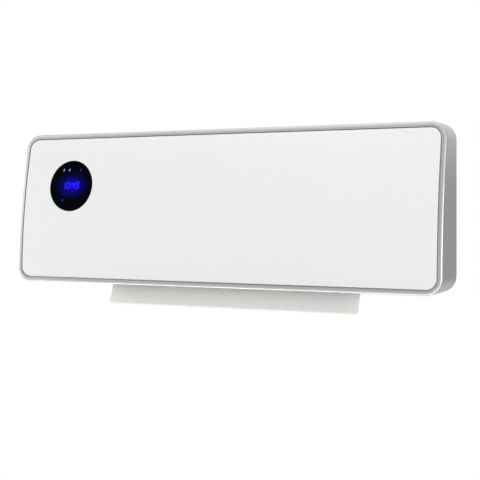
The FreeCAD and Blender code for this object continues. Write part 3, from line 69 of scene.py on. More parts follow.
# Panel in the silver casing, and the band along it where the lacquer carries painted shade
PANEL_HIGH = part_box("front_panel")[1]
PANEL_CORNER = 12.4 * MM
PAINTED_SHADE_FULL_WITHIN = 3.0 * MM  # painted shade is full as far as this from the panel
PAINTED_SHADE_GONE_FROM = 4.8 * MM  # and gone from this far on
# darker grey painted into the lacquer along the panel: painted shade, not a colour of the real casing
PAINTED_SHADE_TONE = "9d9ea0"

# Lit clock in the round window
LENS_LOW, LENS_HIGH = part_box("display_lens")
LENS_X = (LENS_LOW.x + LENS_HIGH.x) / 2
LENS_Z = (LENS_LOW.z + LENS_HIGH.z) / 2
CLOCK_TIME = "10:49"
CLOCK_RISE = 0.7 * MM  # digits above the window's middle
CLOCK_SHIFT = 0.6 * MM  # digits to the left of the window's middle
DIGIT_WIDTH = 4.0 * MM
DIGIT_HEIGHT = 8.4 * MM
DIGIT_STEP = 6.0 * MM
DIGIT_SLANT = 0.10  # sideways lean for each unit of height
COLON_STEP = 2.8 * MM
COLON_RADIUS = 0.7 * MM
COLON_HEIGHTS = (0.3, 0.7)  # shares of the digits' height
STROKE = 1.2 * MM
STROKE_GAP = 0.15 * MM
UNDERLINE_HALF = 15 * MM
UNDERLINE_DROP = 10.5 * MM
KEY_MARK_RUN = 1.2 * MM  # how far a key's slanted mark runs sideways
KEY_MARK_RISE = 3.6 * MM
# Places of the keys' marks to the right of the window's middle and above it
KEY_MARKS_LIT = ((-12.9 * MM, 20.5 * MM), (-4.2 * MM, 20.5 * MM))
KEY_MARKS_DIM = ((13.3 * MM, 20.2 * MM), (-11.7 * MM, -18.6 * MM))
DISC_POINTS = 16

# Segments that each digit lights, by their usual letters, and where each runs in a cell 1 wide and 1 high
DIGIT_SEGMENTS = {"0": "abcdef", "1": "bc", "4": "bcfg", "9": "abcdfg"}
SEGMENT_RUNS = {
    "a": ((0, 1), (1, 1)),
    "b": ((1, 1), (1, 0.5)),
    "c": ((1, 0.5), (1, 0)),
    "d": ((0, 0), (1, 0)),
    "e": ((0, 0.5), (0, 0)),
    "f": ((0, 1), (0, 0.5)),
    "g": ((0, 0.5), (1, 0.5)),
}

# Light of the clock in the window around it
GLOW_HALF_WIDTH = 38 * MM
GLOW_HALF_HEIGHT = 25 * MM
GLOW_SHIFT = 1.4 * MM  # the first digit is only a bar, so the light is off the middle
GLOW_STRENGTH = 0.9
GLOW_FADE = 2.0  # power that the light is raised to, so that it fades sooner
SPECKLE_MM = 1.5
SPECKLE_SPAN = (0.8, 1.2)  # least and most light of a lit mark, as shares of its strength
HAZE_MM = 25  # patches of finer and coarser polish on the window

# Marks on the main switch, a bar and a ring, from the middle of the rocker
ROCKER_LOW, ROCKER_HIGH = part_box("power_rocker")
ROCKER_X = (ROCKER_LOW.x + ROCKER_HIGH.x) / 2
ROCKER_Y = (ROCKER_LOW.y + ROCKER_HIGH.y) / 2
ROCKER_MARK_STEP = 4.4 * MM
ROCKER_MARK_RADIUS = 2.0 * MM
ROCKER_MARK_LINE = 0.6 * MM
RING_POINTS = 12  # along each half of the ring
RING_SPLIT = 0.00015  # share of the radius that keeps each half off the middle

# Print stands off its surface and reaches a little into it
PRINT_PROUD = 0.03 * MM
PRINT_THICKNESS = 0.1 * MM

# Soft edges: the body that each node rides on, its slot and the radius
SOFT_EDGES = {
    "front_panel": ("heater_body", "panel_white", 0.6 * MM),
    "display_lens": ("heater_body", "display_black", 0.4 * MM),
    "outlet_flap": ("flap", "flap_grey", 0.9 * MM),
    "intake_grille": ("heater_body", "housing_white", 0.4 * MM),
    "power_rocker": ("rocker", "dark_plastic", 0.4 * MM),
    "wall_bracket": ("heater_body", "zinc_steel", 0.3 * MM),
}
MERGE = 0.002 * MM
FLAT_ANGLE = math.radians(0.3)
EDGE_ANGLE = math.radians(35)
EDGE_STEPS = 3

# Screws: their cross recess as shares of the head, and how finely they are drawn
RECESS_SPAN = 1.1
RECESS_WIDTH = 0.26
RECESS_DEPTH = 0.6
HEAD_SEGMENTS = 32
HEAD_RINGS = 15
SHANK_SIDES = 20
SEAT_BLOCK = 4.0  # width, in head radii, of the block that cuts the head flat
RIM_SHARE = 0.95  # corners this share of the head's radius out are on its rim
PLACE_DIGITS = 4  # decimals of a metre that tell two screws' places apart

# Grain and patches of the finishes
PATCH_DETAIL = 3.0
GRAIN_DETAIL = 2.0
GRAIN_SPAN = (0.3, 0.7)  # most of the noise lies between these
WHOLE_SPAN = (0.0, 1.0)
MIX_FACTOR, MIX_A, MIX_B, MIX_COLOUR = 0, 6, 7, 2  # colour sockets of the Mix node

# Floor and camera
FLOOR_DROP = 0.35  # the heater hangs on a wall, this far above the floor
FLOOR_RADIUS = 2.4
FLOOR_POINTS = 96
FRAME_PX = 480
HORIZON_PX = 206.1  # from the top of the frame
CAMERA_PLACE = (0.583, -1.224, 0.002)
CAMERA_YAW = math.radians(25.95)
CAMERA_LENS = 78.86  # in mm, as is the sensor
SENSOR_WIDTH = 36.0

# Studio light from all round, brightest at the front left
SKY_SIDE = (-0.6, -0.8, 0.0)
SKY_SPAN = (-0.5, 0.8)  # from turned away from that side to facing it
SKY_LIGHT = (0.36, 0.75)

# Softboxes: place, aim, width and height, all in metres, and power in watts
SOFTBOXES = {
    "overhead_softbox": ((0.0, -0.3, 2.1), (0.0, -0.3, 0.0), (4.0, 4.0), 26),
    "key_softbox": ((-0.7, -1.5, 1.7), (0.0, 0.0, 0.0), (1.2, 1.2), 5),
    "right_softbox": ((1.3, -2.1, 0.0), (0.0, 0.0, -0.05), (1.6, 0.8), 19),
    "left_softbox": ((-2.4, -1.0, 0.0), (0.0, 0.0, -0.05), (1.0, 0.8), 16),
    "left_strip": ((-2.0, 0.6, 0.3), (-0.2, 0.0, 0.0), (0.6, 0.6), 12),
    "back_fill": ((0.3, 2.0, 0.9), (0.0, 0.0, 0.0), (1.6, 1.6), 5),
}

# Strips that light the silver casing alone, to draw its rim
RIM_STRIPS = {
    "low_strip": ((0.0, -0.38, -0.43), (0.1, -0.1, -0.1), (1.1, 0.12), 2.75),
    "right_strip": ((1.5, -1.1, 0.25), (0.28, -0.1, 0.0), (0.3, 1.3), 6.5),
    "front_left_strip": ((-1.75, -1.74, 0.5), (-0.28, -0.1, 0.0), (0.3, 0.9), 4.5),
}

# Faces of the rocker, for print to lie on
ROCKER_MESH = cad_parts["power_rocker"].data
ROCKER_FACES = BVHTree.FromPolygons(
    [corner.co for corner in ROCKER_MESH.vertices], [face.vertices for face in ROCKER_MESH.polygons]
)


def linear(colour):
    """A six-digit sRGB hex colour as linear RGBA."""
    values = [int(colour[i : i + 2], 16) / 255 for i in (0, 2, 4)]
    return (*[v / 12.92 if v <= 0.04045 else ((v + 0.055) / 1.055) ** 2.4 for v in values], 1.0)


def per_metre(size_mm):
    """Texture scale that gives a pattern of that real size."""
    return 1 / (size_mm * MM)


def add_node(tree, kind, inputs=None, **settings):
    """Adds a node with its settings; an input is a value or the socket that feeds it."""
    node = tree.nodes.new(kind)
    for name, value in settings.items():
        setattr(node, name, value)
    for socket, value in (inputs or {}).items():
        if isinstance(value, bpy.types.NodeSocket):
            tree.links.new(value, node.inputs[socket])
        else:
            node.inputs[socket].default_value = value
    return node


def new_tree(name):
    """An empty material and its node tree."""
    material = bpy.data.materials.new(name)
    material.use_nodes = True
    material.node_tree.nodes.clear()
    return material, material.node_tree


def add_skin(tree, inputs):
    """Adds the shader with those inputs as a material's surface."""
    skin = add_node(tree, "ShaderNodeBsdfPrincipled", inputs)
    add_node(tree, "ShaderNodeOutputMaterial", {"Surface": skin.outputs["BSDF"]})


def add_noise(tree, place, size_mm, detail=GRAIN_DETAIL):
    """Socket of a noise whose features have that real size."""
    noise = {"Vector": place, "Scale": per_metre(size_mm), "Detail": detail}
    return add_node(tree, "ShaderNodeTexNoise", noise).outputs["Fac"]


def add_range(tree, value, values, results):
    """Socket that takes one span of values to another."""
    spans = {
        "Value": value,
        "From Min": values[0],
        "From Max": values[1],
        "To Min": results[0],
        "To Max": results[1],
    }
    return add_node(tree, "ShaderNodeMapRange", spans).outputs["Result"]


def add_mix(tree, factor, first, second):
    """Socket of a colour between two others."""
    mix = {MIX_FACTOR: factor, MIX_A: first, MIX_B: second}
    return add_node(tree, "ShaderNodeMix", mix, data_type="RGBA").outputs[MIX_COLOUR]


def surface(name, dark, light, *, rough, patch_mm, grain_mm, grain_depth_mm, stretch=(1, 1, 1), **shader):
    """A material whose colour drifts in patches and whose gloss and skin have a fine grain."""
    material, tree = new_tree(name)
    place = add_node(tree, "ShaderNodeTexCoord").outputs["Object"]
    place = add_node(tree, "ShaderNodeMapping", {"Vector": place, "Scale": stretch}).outputs["Vector"]
    patches = add_noise(tree, place, patch_mm, PATCH_DETAIL)
    grain = add_noise(tree, place, grain_mm)
    bump = add_node(tree, "ShaderNodeBump", {"Height": grain, "Distance": grain_depth_mm * MM})
    skin = {
        "Base Color": add_mix(tree, patches, linear(dark), linear(light)),
        "Roughness": add_range(tree, grain, GRAIN_SPAN, rough),
        "Normal": bump.outputs["Normal"],
        **shader,
    }
    add_skin(tree, skin)
    return material


def white_abs():
    """Polished moulded ABS of the front panel: clean white, soft sheen, faint orange peel."""
    return surface(
        "moulded_white_abs", "dcdcdc", "dfdfdf",
        rough=(0.30, 0.38), patch_mm=120, grain_mm=3, grain_depth_mm=0.004, IOR=1.53,
    )


def painted_shade_band(tree):
    """Socket of the painted shade: 1 in the band along the panel's rounded outline, fading to 0 away from
    it.
    """

    def step(operation, vector, other=(0.0, 0.0, 0.0)):
        """Outputs of one step of vector arithmetic."""
        return add_node(tree, "ShaderNodeVectorMath", {0: vector, 1: other}, operation=operation).outputs

    place = add_node(tree, "ShaderNodeTexCoord").outputs["Object"]
    corner = (PANEL_HIGH.x - PANEL_CORNER, 0.0, PANEL_HIGH.z - PANEL_CORNER)
    flat = step("MULTIPLY", place, (1.0, 0.0, 1.0))["Vector"]
    folded = step("ABSOLUTE", flat)["Vector"]
    past_corner = step("SUBTRACT", folded, corner)["Vector"]
    outside = step("MAXIMUM", past_corner)["Vector"]
    reach = step("LENGTH", outside)["Value"]
    band = (PANEL_CORNER + PAINTED_SHADE_FULL_WITHIN, PANEL_CORNER + PAINTED_SHADE_GONE_FROM)
    return add_range(tree, reach, band, (1.0, 0.0))


def silver_lacquer():
    """Silver lacquer on the casing: mid grey with a metallic glint, its flakes drawn coarse enough to show.

    It is painted darker along the panel: painted shade of the bezel's inner slope and groove.
    """
    material = surface(
        "silver_lacquer", "b4b5b6", "c5c6c7",
        rough=(0.30, 0.40), patch_mm=0.9, grain_mm=1.1, grain_depth_mm=0.003, Metallic=0.75,
        **{"Coat Weight": 0.2, "Coat Roughness": 0.2},
    )
    tree = material.node_tree
    base = tree.nodes["Principled BSDF"].inputs["Base Color"]
    # painted shade: the lacquer's colour turns darker grey along the panel
    shaded_base = add_mix(tree, painted_shade_band(tree), base.links[0].from_socket, linear(PAINTED_SHADE_TONE))
    tree.links.new(shaded_base, base)
    return material


def textured_abs():
    """Spark-textured ABS of the rear housing: off-white, matt, with a fine even grain."""
    return surface(
        "spark_textured_abs", "dededb", "e6e6e3",
        rough=(0.55, 0.68), patch_mm=60, grain_mm=0.9, grain_depth_mm=0.03, IOR=1.53,
    )


def grey_abs():
    """Moulded pale grey ABS of the flap: smooth and a little satin."""
    return surface(
        "moulded_grey_abs", "f2f1ee", "f7f6f3",
        rough=(0.38, 0.46), patch_mm=80, grain_mm=2, grain_depth_mm=0.006, IOR=1.53,
    )


def black_nylon():
    """Heat-resistant black nylon of duct, fan and grille: dark, satin, with a moulded grain."""
    return surface(
        "black_glass_filled_nylon", "17181a", "232427",
        rough=(0.45, 0.60), patch_mm=14, grain_mm=0.8, grain_depth_mm=0.02, IOR=1.53,
    )


def led_epoxy():
    """Black potting of the digit module: almost black and smooth."""
    return surface(
        "black_led_epoxy", "08080a", "0e0e11",
        rough=(0.22, 0.30), patch_mm=6, grain_mm=0.6, grain_depth_mm=0.004, IOR=1.55,
    )


def component_epoxy():
    """Moulded black component bodies: flat charcoal with a fine grit."""
    return surface(
        "black_component_epoxy", "1b1b1d", "29292b",
        rough=(0.50, 0.62), patch_mm=5, grain_mm=0.5, grain_depth_mm=0.01, IOR=1.55,
    )


def relay_blue():
    """Blue polyester of relays and capacitor: bright and slightly waxy."""
    return surface(
        "blue_polyester", "1c4c9c", "2559b0",
        rough=(0.34, 0.44), patch_mm=9, grain_mm=0.8, grain_depth_mm=0.008, IOR=1.57,
    )


def zinc_steel():
    """Zinc-plated sheet steel: cool bright metal with a cloudy spangle."""
    return surface(
        "zinc_plated_steel", "9da2a8", "c3c7cc",
        rough=(0.26, 0.42), patch_mm=7, grain_mm=2.5, grain_depth_mm=0.006, Metallic=1.0,
    )


def screw_steel():
    """Nickel-plated screw steel: bright, with fine turning marks."""
    return surface(
        "nickel_plated_steel", "a8a9aa", "cfd0d1",
        rough=(0.20, 0.34), patch_mm=1.5, grain_mm=0.4, grain_depth_mm=0.006, Metallic=1.0,
    )


def fin_aluminium():
    """Rolled aluminium of the fins: pale metal with marks drawn out along the strip."""
    return surface(
        "rolled_aluminium", "b7babd", "dadcde",
        rough=(0.28, 0.45), patch_mm=2, grain_mm=0.8, grain_depth_mm=0.006,
        stretch=(0.08, 1, 1), Metallic=1.0,
    )


def bearing_bronze():
    """Sintered bronze of the bearings: warm brown metal with dark pores."""
    return surface(
        "sintered_bronze", "7a5630", "b08550",
        rough=(0.38, 0.55), patch_mm=0.7, grain_mm=0.5, grain_depth_mm=0.02, Metallic=1.0,
    )


def board_green():
    """Solder-masked glass epoxy: deep glossy green over a faint weave."""
    return surface(
        "green_solder_mask", "12442a", "1c5a38",
        rough=(0.25, 0.36), patch_mm=2.5, grain_mm=1.0, grain_depth_mm=0.008, IOR=1.5,
    )


def mount_rubber():
    """Moulded rubber: dull black with a dusty bloom."""
    return surface(
        "black_rubber", "161616", "262626",
        rough=(0.75, 0.90), patch_mm=3, grain_mm=0.6, grain_depth_mm=0.02, IOR=1.52,
    )


def lead_silicone():
    """Silicone insulation of the leads: soft ivory white."""
    return surface(
        "white_silicone", "dedbd3", "ebe8e1",
        rough=(0.45, 0.58), patch_mm=10, grain_mm=0.8, grain_depth_mm=0.008, IOR=1.41,
    )


def pad_print():
    """White pad-printed ink on the rocker: flat and slightly chalky."""
    return surface(
        "white_pad_print", "d2d2d0", "dededc",
        rough=(0.55, 0.65), patch_mm=2, grain_mm=0.5, grain_depth_mm=0.004, IOR=1.5,
    )


def clock_glow(tree, place):
    """Socket of the clock's light in the window, which fades away from the digits."""
    scale = (1 / GLOW_HALF_WIDTH, 0.0, 1 / GLOW_HALF_HEIGHT)
    shift = (-(LENS_X + GLOW_SHIFT) * scale[0], 0.0, -(LENS_Z + CLOCK_RISE) * scale[2])
    centred = add_node(tree, "ShaderNodeMapping", {"Vector": place, "Location": shift, "Scale": scale})
    centred = centred.outputs["Vector"]
    spread = add_node(tree, "ShaderNodeTexGradient", {"Vector": centred}, gradient_type="QUADRATIC_SPHERE")
    faded = add_node(tree, "ShaderNodeMath", {0: spread.outputs["Fac"], 1: GLOW_FADE}, operation="POWER")
    light = {0: faded.outputs["Value"], 1: GLOW_STRENGTH}
    return add_node(tree, "ShaderNodeMath", light, operation="MULTIPLY").outputs["Value"]


def smoked_acrylic():
    """Smoked acrylic of the window: glossy black, lit blue from behind round the digits."""
    material, tree = new_tree("smoked_acrylic")
    place = add_node(tree, "ShaderNodeTexCoord").outputs["Object"]
    haze = add_noise(tree, place, HAZE_MM)
    skin = {
        "Base Color": linear("020308"),
        "Roughness": add_range(tree, haze, WHOLE_SPAN, (0.05, 0.12)),
        "IOR": 1.49,
        "Specular IOR Level": 0.02,
        "Emission Color": linear("200cff"),
        "Emission Strength": clock_glow(tree, place),
    }
    add_skin(tree, skin)
    return material


def lit_print(name, colour, strength):
    """Light from a diode through clear print: even, with a faint speckle."""
    material, tree = new_tree(name)
    place = add_node(tree, "ShaderNodeTexCoord").outputs["Object"]
    speckle = add_noise(tree, place, SPECKLE_MM)
    light = [share * strength for share in SPECKLE_SPAN]
    skin = {
        "Base Color": linear("00000a"),
        "Roughness": 0.3,
        "Specular IOR Level": 0.05,
        "Emission Color": linear(colour),
        "Emission Strength": add_range(tree, speckle, WHOLE_SPAN, light),
    }
    add_skin(tree, skin)
    return material


def paper():
    """Seamless studio paper under the heater: soft and matt to the light, and plain white where the camera
    sees it.
    """
    material = surface(
        "white_paper", "d4d4d4", "dadada",
        rough=(0.85, 0.95), patch_mm=300, grain_mm=4, grain_depth_mm=0.02,
    )
    tree = material.node_tree
    seen = add_node(tree, "ShaderNodeLightPath").outputs["Is Camera Ray"]
    bright = add_node(tree, "ShaderNodeEmission", {"Color": linear("ffffff")}).outputs["Emission"]
    matt = tree.nodes["Principled BSDF"].outputs["BSDF"]
    both = add_node(tree, "ShaderNodeMixShader", {0: seen, 1: matt, 2: bright})
    tree.links.new(both.outputs["Shader"], tree.nodes["Material Output"].inputs["Surface"])
    return material


def new_object(name, data):
    """An object of that data in the scene."""
    made = bpy.data.objects.new(name, data)
    bpy.context.scene.collection.objects.link(made)
    return made


def new_piece(name, mesh, body):
    """A finished piece that rides on a body."""
    piece = new_object(name, mesh)
    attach(piece, body)
    return piece


def new_mesh(name, work, material):
    """A mesh of that material from a finished bmesh, which goes."""
    mesh = bpy.data.meshes.new(name)
    work.to_mesh(mesh)
    work.free()
    mesh.materials.append(material)
    return mesh


def plain_mesh(piece, name):
    """The piece as its modifiers leave it, as a mesh of its own; the piece itself goes."""
    bpy.context.view_layer.update()
    evaluated = piece.evaluated_get(bpy.context.evaluated_depsgraph_get())
    mesh = bpy.data.meshes.new_from_object(evaluated)
    mesh.name = name
    bpy.data.objects.remove(piece)
    return mesh


def dress(finishes):
    """Gives every node the finish of its slot."""
    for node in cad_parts.values():
        for slot in node.material_slots:
            slot.material = finishes[slot.material.name.split(".")[0]]


def soften(node, body, radius, material):
    """Replaces a node by a copy whose sharp edges are rounded to that radius."""
    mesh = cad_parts[node].data.copy()
    for attribute in ("custom_normal", "sharp_edge", "sharp_face"):
        if attribute in mesh.attributes:
            mesh.attributes.remove(mesh.attributes[attribute])
    work = bmesh.new()
    work.from_mesh(mesh)
    bmesh.ops.remove_doubles(work, verts=work.verts, dist=MERGE)
    bmesh.ops.dissolve_limit(work, angle_limit=FLAT_ANGLE, verts=work.verts, edges=work.edges)
    for face in work.faces:
        face.smooth = True
    work.to_mesh(mesh)
    work.free()
    mesh.materials.clear()
    mesh.materials.append(material)
    draft = new_object(node, mesh)
    bevel = draft.modifiers.new("soft edges", "BEVEL")
    bevel.width = radius
    bevel.segments = EDGE_STEPS
    bevel.limit_method = "ANGLE"
    bevel.angle_limit = EDGE_ANGLE
    bevel.harden_normals = True
    piece = new_piece(f"{node}_soft", plain_mesh(draft, f"{node}_soft"), body)
    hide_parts(node)


def on_front(x, z, depth):
    """A point that deep below print on the bowed front."""
    rise = z - CASING_LOW.z
    front_y = CASING_LOW.y + FRONT_RADIUS - math.sqrt(FRONT_RADIUS**2 - rise**2)
    return (x, front_y - PRINT_PROUD + depth, z)


def on_rocker(x, y, depth):
    """A point that deep below print on the rocker, whose face is found by looking up from below."""
    found = ROCKER_FACES.ray_cast((x, y, ROCKER_LOW.z - MM), (0.0, 0.0, 1.0))[0]
    return (x, y, found.z - PRINT_PROUD + depth)


def print_piece(name, outlines, place, body, material):
    """Thin raised print, one flat shape for each outline, whose points place() puts on their surface."""
    work = bmesh.new()
    for outline in outlines:
        face = [work.verts.new(place(*point, 0.0)) for point in outline]
        back = [work.verts.new(place(*point, PRINT_THICKNESS)) for point in outline]
        work.faces.new(face)
        work.faces.new(back[::-1])
        for i in range(len(outline)):
            work.faces.new((face[i - 1], back[i - 1], back[i], face[i]))
    bmesh.ops.recalc_face_normals(work, faces=work.faces)
    new_piece(name, new_mesh(name, work, material), body)


def stroke(start, end):
    """Outline of one lit segment: a bar with pointed ends."""
    start, end = Vector(start), Vector(end)
    along = (end - start).normalized()
    across = Vector((-along.y, along.x)) * STROKE / 2
    tips = (start + along * STROKE_GAP, end - along * STROKE_GAP)
    shoulders = (tips[0] + along * STROKE / 2, tips[1] - along * STROKE / 2)
    return [
        tips[0],
        shoulders[0] + across,
        shoulders[1] + across,
        tips[1],
        shoulders[1] - across,
        shoulders[0] - across,
    ]


def disc(x, z, radius):
    """Outline of a round mark."""
    turns = [2 * math.pi * i / DISC_POINTS for i in range(DISC_POINTS)]
    return [(x + radius * math.cos(turn), z + radius * math.sin(turn)) for turn in turns]


def clock_outlines():
    """Outlines of the lit digits and colon, about the window's middle."""
    steps = [COLON_STEP if sign == ":" else DIGIT_STEP for sign in CLOCK_TIME]
    x = LENS_X - CLOCK_SHIFT - sum(steps) / 2
    base = LENS_Z + CLOCK_RISE - DIGIT_HEIGHT / 2
    outlines = []
    for sign, step in zip(CLOCK_TIME, steps):
        middle = x + step / 2
        if sign == ":":
            outlines += [disc(middle, base + DIGIT_HEIGHT * share, COLON_RADIUS) for share in COLON_HEIGHTS]
        for letter in DIGIT_SEGMENTS.get(sign, ""):
            ends = [
                (
                    middle + DIGIT_WIDTH * (across - 0.5) + DIGIT_SLANT * DIGIT_HEIGHT * (up - 0.5),
                    base + DIGIT_HEIGHT * up,
                )
                for across, up in SEGMENT_RUNS[letter]
            ]
            outlines.append(stroke(*ends))
        x += step
    return outlines


def key_outlines(places):
    """Outlines of the touch keys' slanted marks, from the window's middle."""
    run, rise = KEY_MARK_RUN / 2, KEY_MARK_RISE / 2
    middles = [(LENS_X + x, LENS_Z + z) for x, z in places]
    return [stroke((x - run, z - rise), (x + run, z + rise)) for x, z in middles]


def underline_outlines():
    """Outline of the faint line below the digits."""
    z = LENS_Z - UNDERLINE_DROP
    return [stroke((LENS_X - UNDERLINE_HALF, z), (LENS_X + UNDERLINE_HALF, z))]


def rocker_outlines():
    """Outlines of the bar at one end of the rocker and, in two halves, of the ring at the other."""
    half = ROCKER_MARK_LINE / 2
    bar_x = ROCKER_X - ROCKER_MARK_STEP
    sides = ((-1, -1), (1, -1), (1, 1), (-1, 1))
    outlines = [[(bar_x + half * across, ROCKER_Y + ROCKER_MARK_RADIUS * along) for across, along in sides]]
    ring_x = ROCKER_X + ROCKER_MARK_STEP
    inner = ROCKER_MARK_RADIUS - ROCKER_MARK_LINE
    turns = [math.pi * (i / RING_POINTS - 0.5) for i in range(RING_POINTS + 1)]
    for side in (-1, 1):
        ways = [(side * (math.cos(turn) + RING_SPLIT), math.sin(turn)) for turn in turns]
        rim = [(ring_x + ROCKER_MARK_RADIUS * x, ROCKER_Y + ROCKER_MARK_RADIUS * y) for x, y in ways]
        hole = [(ring_x + inner * x, ROCKER_Y + inner * y) for x, y in ways]
        outlines.append(rim + hole[::-1])
    return outlines


def solids_of(node):
    """The separate solids of a node, each as a list of its corners, from left to right."""
    work = bmesh.new()
    work.from_mesh(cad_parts[node].data)
    bmesh.ops.remove_doubles(work, verts=work.verts, dist=MERGE)
    left = set(work.verts)
    solids = []
    while left:
        found = [left.pop()]
        for corner in found:
            joined = {edge.other_vert(corner) for edge in corner.link_edges} & left
            left -= joined
            found += joined
        solids.append([corner.co.copy() for corner in found])
    work.free()

    def place(solid):
        """Mean of a solid's corners across and up, rounded so that the order is the same each run."""
        return [round(sum(corner[axis] for corner in solid) / len(solid), PLACE_DIGITS) for axis in (0, 2)]

    return sorted(solids, key=place)


def screw_tree():
    """Tree that puts a cross-recessed screw, head towards +Y, at each point; returns it and its inputs."""
    tree = bpy.data.node_groups.new("cross_recess_screws", "GeometryNodeTree")
    tree.interface.new_socket("Places", in_out="INPUT", socket_type="NodeSocketGeometry")
    names = ("Head Radius", "Head Height", "Shank Radius", "Shank Length")
    made = [tree.interface.new_socket(n, in_out="INPUT", socket_type="NodeSocketFloat") for n in names]
    made.append(tree.interface.new_socket("Steel", in_out="INPUT", socket_type="NodeSocketMaterial"))
    tree.interface.new_socket("Screws", in_out="OUTPUT", socket_type="NodeSocketGeometry")
    given = add_node(tree, "NodeGroupInput").outputs

    def times(name, factor):
        """An input of the tree times a number."""
        product = add_node(tree, "ShaderNodeMath", {0: given[name], 1: factor}, operation="MULTIPLY")
        return product.outputs["Value"]

    def triple(x, y, z):
        """A vector of three numbers or sockets."""
        return add_node(tree, "ShaderNodeCombineXYZ", {"X": x, "Y": y, "Z": z}).outputs["Vector"]

    def moved(geometry, **change):
        """Geometry that is moved, turned or scaled."""
        return add_node(tree, "GeometryNodeTransform", {"Geometry": geometry, **change}).outputs["Geometry"]

    def block(size, place):
        """A box about a place."""
        cube = add_node(tree, "GeometryNodeMeshCube", {"Size": size}).outputs["Mesh"]
        return moved(cube, Translation=place)

    round_head = {"Segments": HEAD_SEGMENTS, "Rings": HEAD_RINGS, "Radius": 1.0}
    ball = add_node(tree, "GeometryNodeMeshUVSphere", round_head).outputs["Mesh"]
    head_size = triple(given["Head Radius"], given["Head Radius"], given["Head Height"])
    dome = moved(ball, Scale=head_size)
    top = triple(0.0, 0.0, given["Head Height"])
    span, width = times("Head Radius", RECESS_SPAN), times("Head Radius", RECESS_WIDTH)
    depth = times("Head Height", 2 * RECESS_DEPTH)
    slots = [block(triple(span, width, depth), top), block(triple(width, span, depth), top)]
    wide = times("Head Radius", SEAT_BLOCK)
    below = block(triple(wide, wide, wide), triple(0.0, 0.0, times("Head Radius", -SEAT_BLOCK / 2)))
    head = add_node(
        tree, "GeometryNodeMeshBoolean", {"Mesh 1": dome}, operation="DIFFERENCE", solver="MANIFOLD"
    )
    for cutter in (*slots, below):
        tree.links.new(cutter, head.inputs["Mesh 2"])
    closed = {"Geometry": head.outputs["Mesh"], "Distance": MERGE}
    clean = add_node(tree, "GeometryNodeMergeByDistance", closed).outputs["Geometry"]
    round_shank = {
        "Vertices": SHANK_SIDES,
        "Radius": given["Shank Radius"],
        "Depth": given["Shank Length"],
    }
    rod = add_node(tree, "GeometryNodeMeshCylinder", round_shank).outputs["Mesh"]
    shank = moved(rod, Translation=triple(0.0, 0.0, times("Shank Length", -0.5)))
    screw = add_node(tree, "GeometryNodeJoinGeometry")
    for part in (clean, shank):
        tree.links.new(part, screw.inputs["Geometry"])
    turned = moved(screw.outputs["Geometry"], Rotation=(-math.pi / 2, 0.0, 0.0))
    spread = add_node(tree, "GeometryNodeInstanceOnPoints", {"Points": given["Places"], "Instance": turned})
    real = add_node(tree, "GeometryNodeRealizeInstances", {"Geometry": spread.outputs["Instances"]})
    coat = {"Geometry": real.outputs["Geometry"], "Material": given["Steel"]}
    coated = add_node(tree, "GeometryNodeSetMaterial", coat)
    add_node(tree, "NodeGroupOutput", {"Screws": coated.outputs["Geometry"]})
    return tree, {socket.name: socket.identifier for socket in made}


def screw_middle(solid):
    """Axis of a screw, halfway across it."""
    wide = [corner.x for corner in solid]
    high = [corner.z for corner in solid]
    return ((min(wide) + max(wide)) / 2, (min(high) + max(high)) / 2)


def casing_screws(material):
    """Screws of the casing with their cross recesses, at the places and sizes of their node."""
    solids = solids_of("casing_screws")
    middles = [screw_middle(solid) for solid in solids]
    x, z = middles[0]
    reach = [(math.hypot(corner.x - x, corner.z - z), corner.y) for corner in solids[0]]
    head_radius = max(radius for radius, _ in reach)
    seat = min(y for radius, y in reach if radius > RIM_SHARE * head_radius)
    top, end = max(y for _, y in reach), min(y for _, y in reach)
    sizes = {
        "Head Radius": head_radius,
        "Head Height": top - seat,
        "Shank Radius": max(radius for radius, y in reach if y < seat - MM),
        "Shank Length": seat - end,
        "Steel": material,
    }
    points = bpy.data.meshes.new("screw_places")
    points.from_pydata([(x, seat, z) for x, z in middles], [], [])
    draft = new_object("screw_places", points)
    maker = draft.modifiers.new("screws", "NODES")
    maker.node_group, inputs = screw_tree()
    for name, size in sizes.items():
        maker[inputs[name]] = size
    mesh = plain_mesh(draft, "casing_screws_recessed")
    piece = new_piece("casing_screws_recessed", mesh, "heater_body")
    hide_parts("casing_screws")


def add_floor(material):
    """Plain round sheet of paper below the heater."""
    work = bmesh.new()
    bmesh.ops.create_circle(work, cap_ends=True, segments=FLOOR_POINTS, radius=FLOOR_RADIUS)
    bmesh.ops.translate(work, verts=work.verts, vec=(0.0, 0.0, CAD_BOX[0].z - FLOOR_DROP))
    floor = new_object("floor", new_mesh("floor", work, material))


def add_light(name, place, target, size, power):
    """A softbox of that width and height, aimed at a point."""
    lamp = bpy.data.lights.new(name, "AREA")
    lamp.shape = "RECTANGLE"
    lamp.size, lamp.size_y = size
    lamp.energy = power
    holder = new_object(name, lamp)
    holder.location = place
    holder.rotation_euler = (Vector(target) - Vector(place)).to_track_quat("-Z", "Y").to_euler()
    return holder


def light_only(holder, node):
    """Keeps a light to one node."""
    lit = bpy.data.collections.new(f"{holder.name}_lights")
    lit.objects.link(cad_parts[node])
    holder.light_linking.receiver_collection = lit


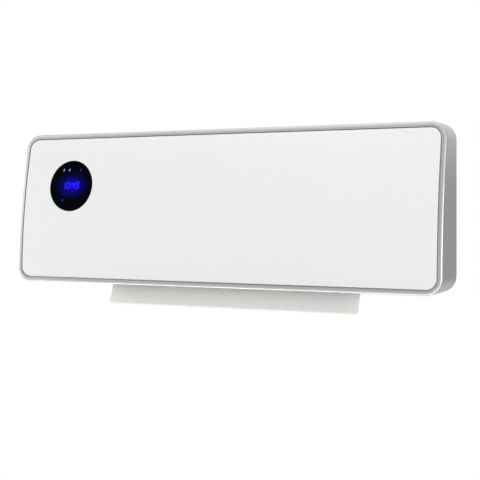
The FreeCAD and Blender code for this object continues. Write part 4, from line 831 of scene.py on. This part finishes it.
def add_world():
    """Soft studio light, stronger from one side, with a white background behind the heater."""
    world = bpy.data.worlds.new("studio")
    world.use_nodes = True
    tree = world.node_tree
    tree.nodes.clear()
    seen = add_node(tree, "ShaderNodeLightPath").outputs["Is Camera Ray"]
    ray = add_node(tree, "ShaderNodeTexCoord").outputs["Generated"]
    facing = add_node(tree, "ShaderNodeVectorMath", {0: ray, 1: SKY_SIDE}, operation="DOT_PRODUCT")
    sky = add_range(tree, facing.outputs["Value"], SKY_SPAN, SKY_LIGHT)
    light = add_node(tree, "ShaderNodeBackground", {"Color": linear("ffffff"), "Strength": sky})
    backdrop = add_node(tree, "ShaderNodeBackground", {"Color": linear("ffffff"), "Strength": 1.0})
    either = {0: seen, 1: light.outputs["Background"], 2: backdrop.outputs["Background"]}
    both = add_node(tree, "ShaderNodeMixShader", either)
    add_node(tree, "ShaderNodeOutputWorld", {"Surface": both.outputs["Shader"]})
    bpy.context.scene.world = world


def add_camera():
    """Level camera to the right of the heater, framed by a shift as in the photograph."""
    camera = bpy.data.cameras.new("camera")
    camera.sensor_width = SENSOR_WIDTH
    camera.lens = CAMERA_LENS
    camera.shift_y = (HORIZON_PX - FRAME_PX / 2) / FRAME_PX
    holder = new_object("camera", camera)
    holder.location = CAMERA_PLACE
    holder.rotation_euler = (math.pi / 2, 0.0, CAMERA_YAW)
    bpy.context.scene.camera = holder


finishes = {
    "casing_silver": silver_lacquer(),
    "panel_white": white_abs(),
    "housing_white": textured_abs(),
    "flap_grey": grey_abs(),
    "display_black": smoked_acrylic(),
    "dark_plastic": black_nylon(),
    "led_black": led_epoxy(),
    "zinc_steel": zinc_steel(),
    "screw_steel": screw_steel(),
    "fin_aluminium": fin_aluminium(),
    "bearing_bronze": bearing_bronze(),
    "board_green": board_green(),
    "component_black": component_epoxy(),
    "component_blue": relay_blue(),
    "mount_rubber": mount_rubber(),
    "lead_white": lead_silicone(),
}
dress(finishes)
for node, (body, slot, radius) in SOFT_EDGES.items():
    soften(node, body, radius, finishes[slot])
casing_screws(finishes["screw_steel"])
lit_marks = {
    "clock_digits": (clock_outlines(), lit_print("blue_diode_light", "2a24ff", strength=1.3)),
    "key_marks_lit": (key_outlines(KEY_MARKS_LIT), lit_print("pale_diode_light", "8fa0ff", strength=1.5)),
    "key_marks_dim": (key_outlines(KEY_MARKS_DIM), lit_print("dim_diode_light", "2a2eff", strength=0.9)),
    "clock_underline": (underline_outlines(), lit_print("faint_diode_light", "0a0aff", strength=0.16)),
}
for name, (outlines, light) in lit_marks.items():
    print_piece(name, outlines, on_front, "heater_body", light)
print_piece("rocker_marks", rocker_outlines(), on_rocker, "rocker", pad_print())
add_floor(paper())
add_world()
for name, setting in SOFTBOXES.items():
    add_light(name, *setting)
for name, setting in RIM_STRIPS.items():
    light_only(add_light(name, *setting), "front_casing")
add_camera()
bpy.context.scene.view_settings.view_transform = "Standard"
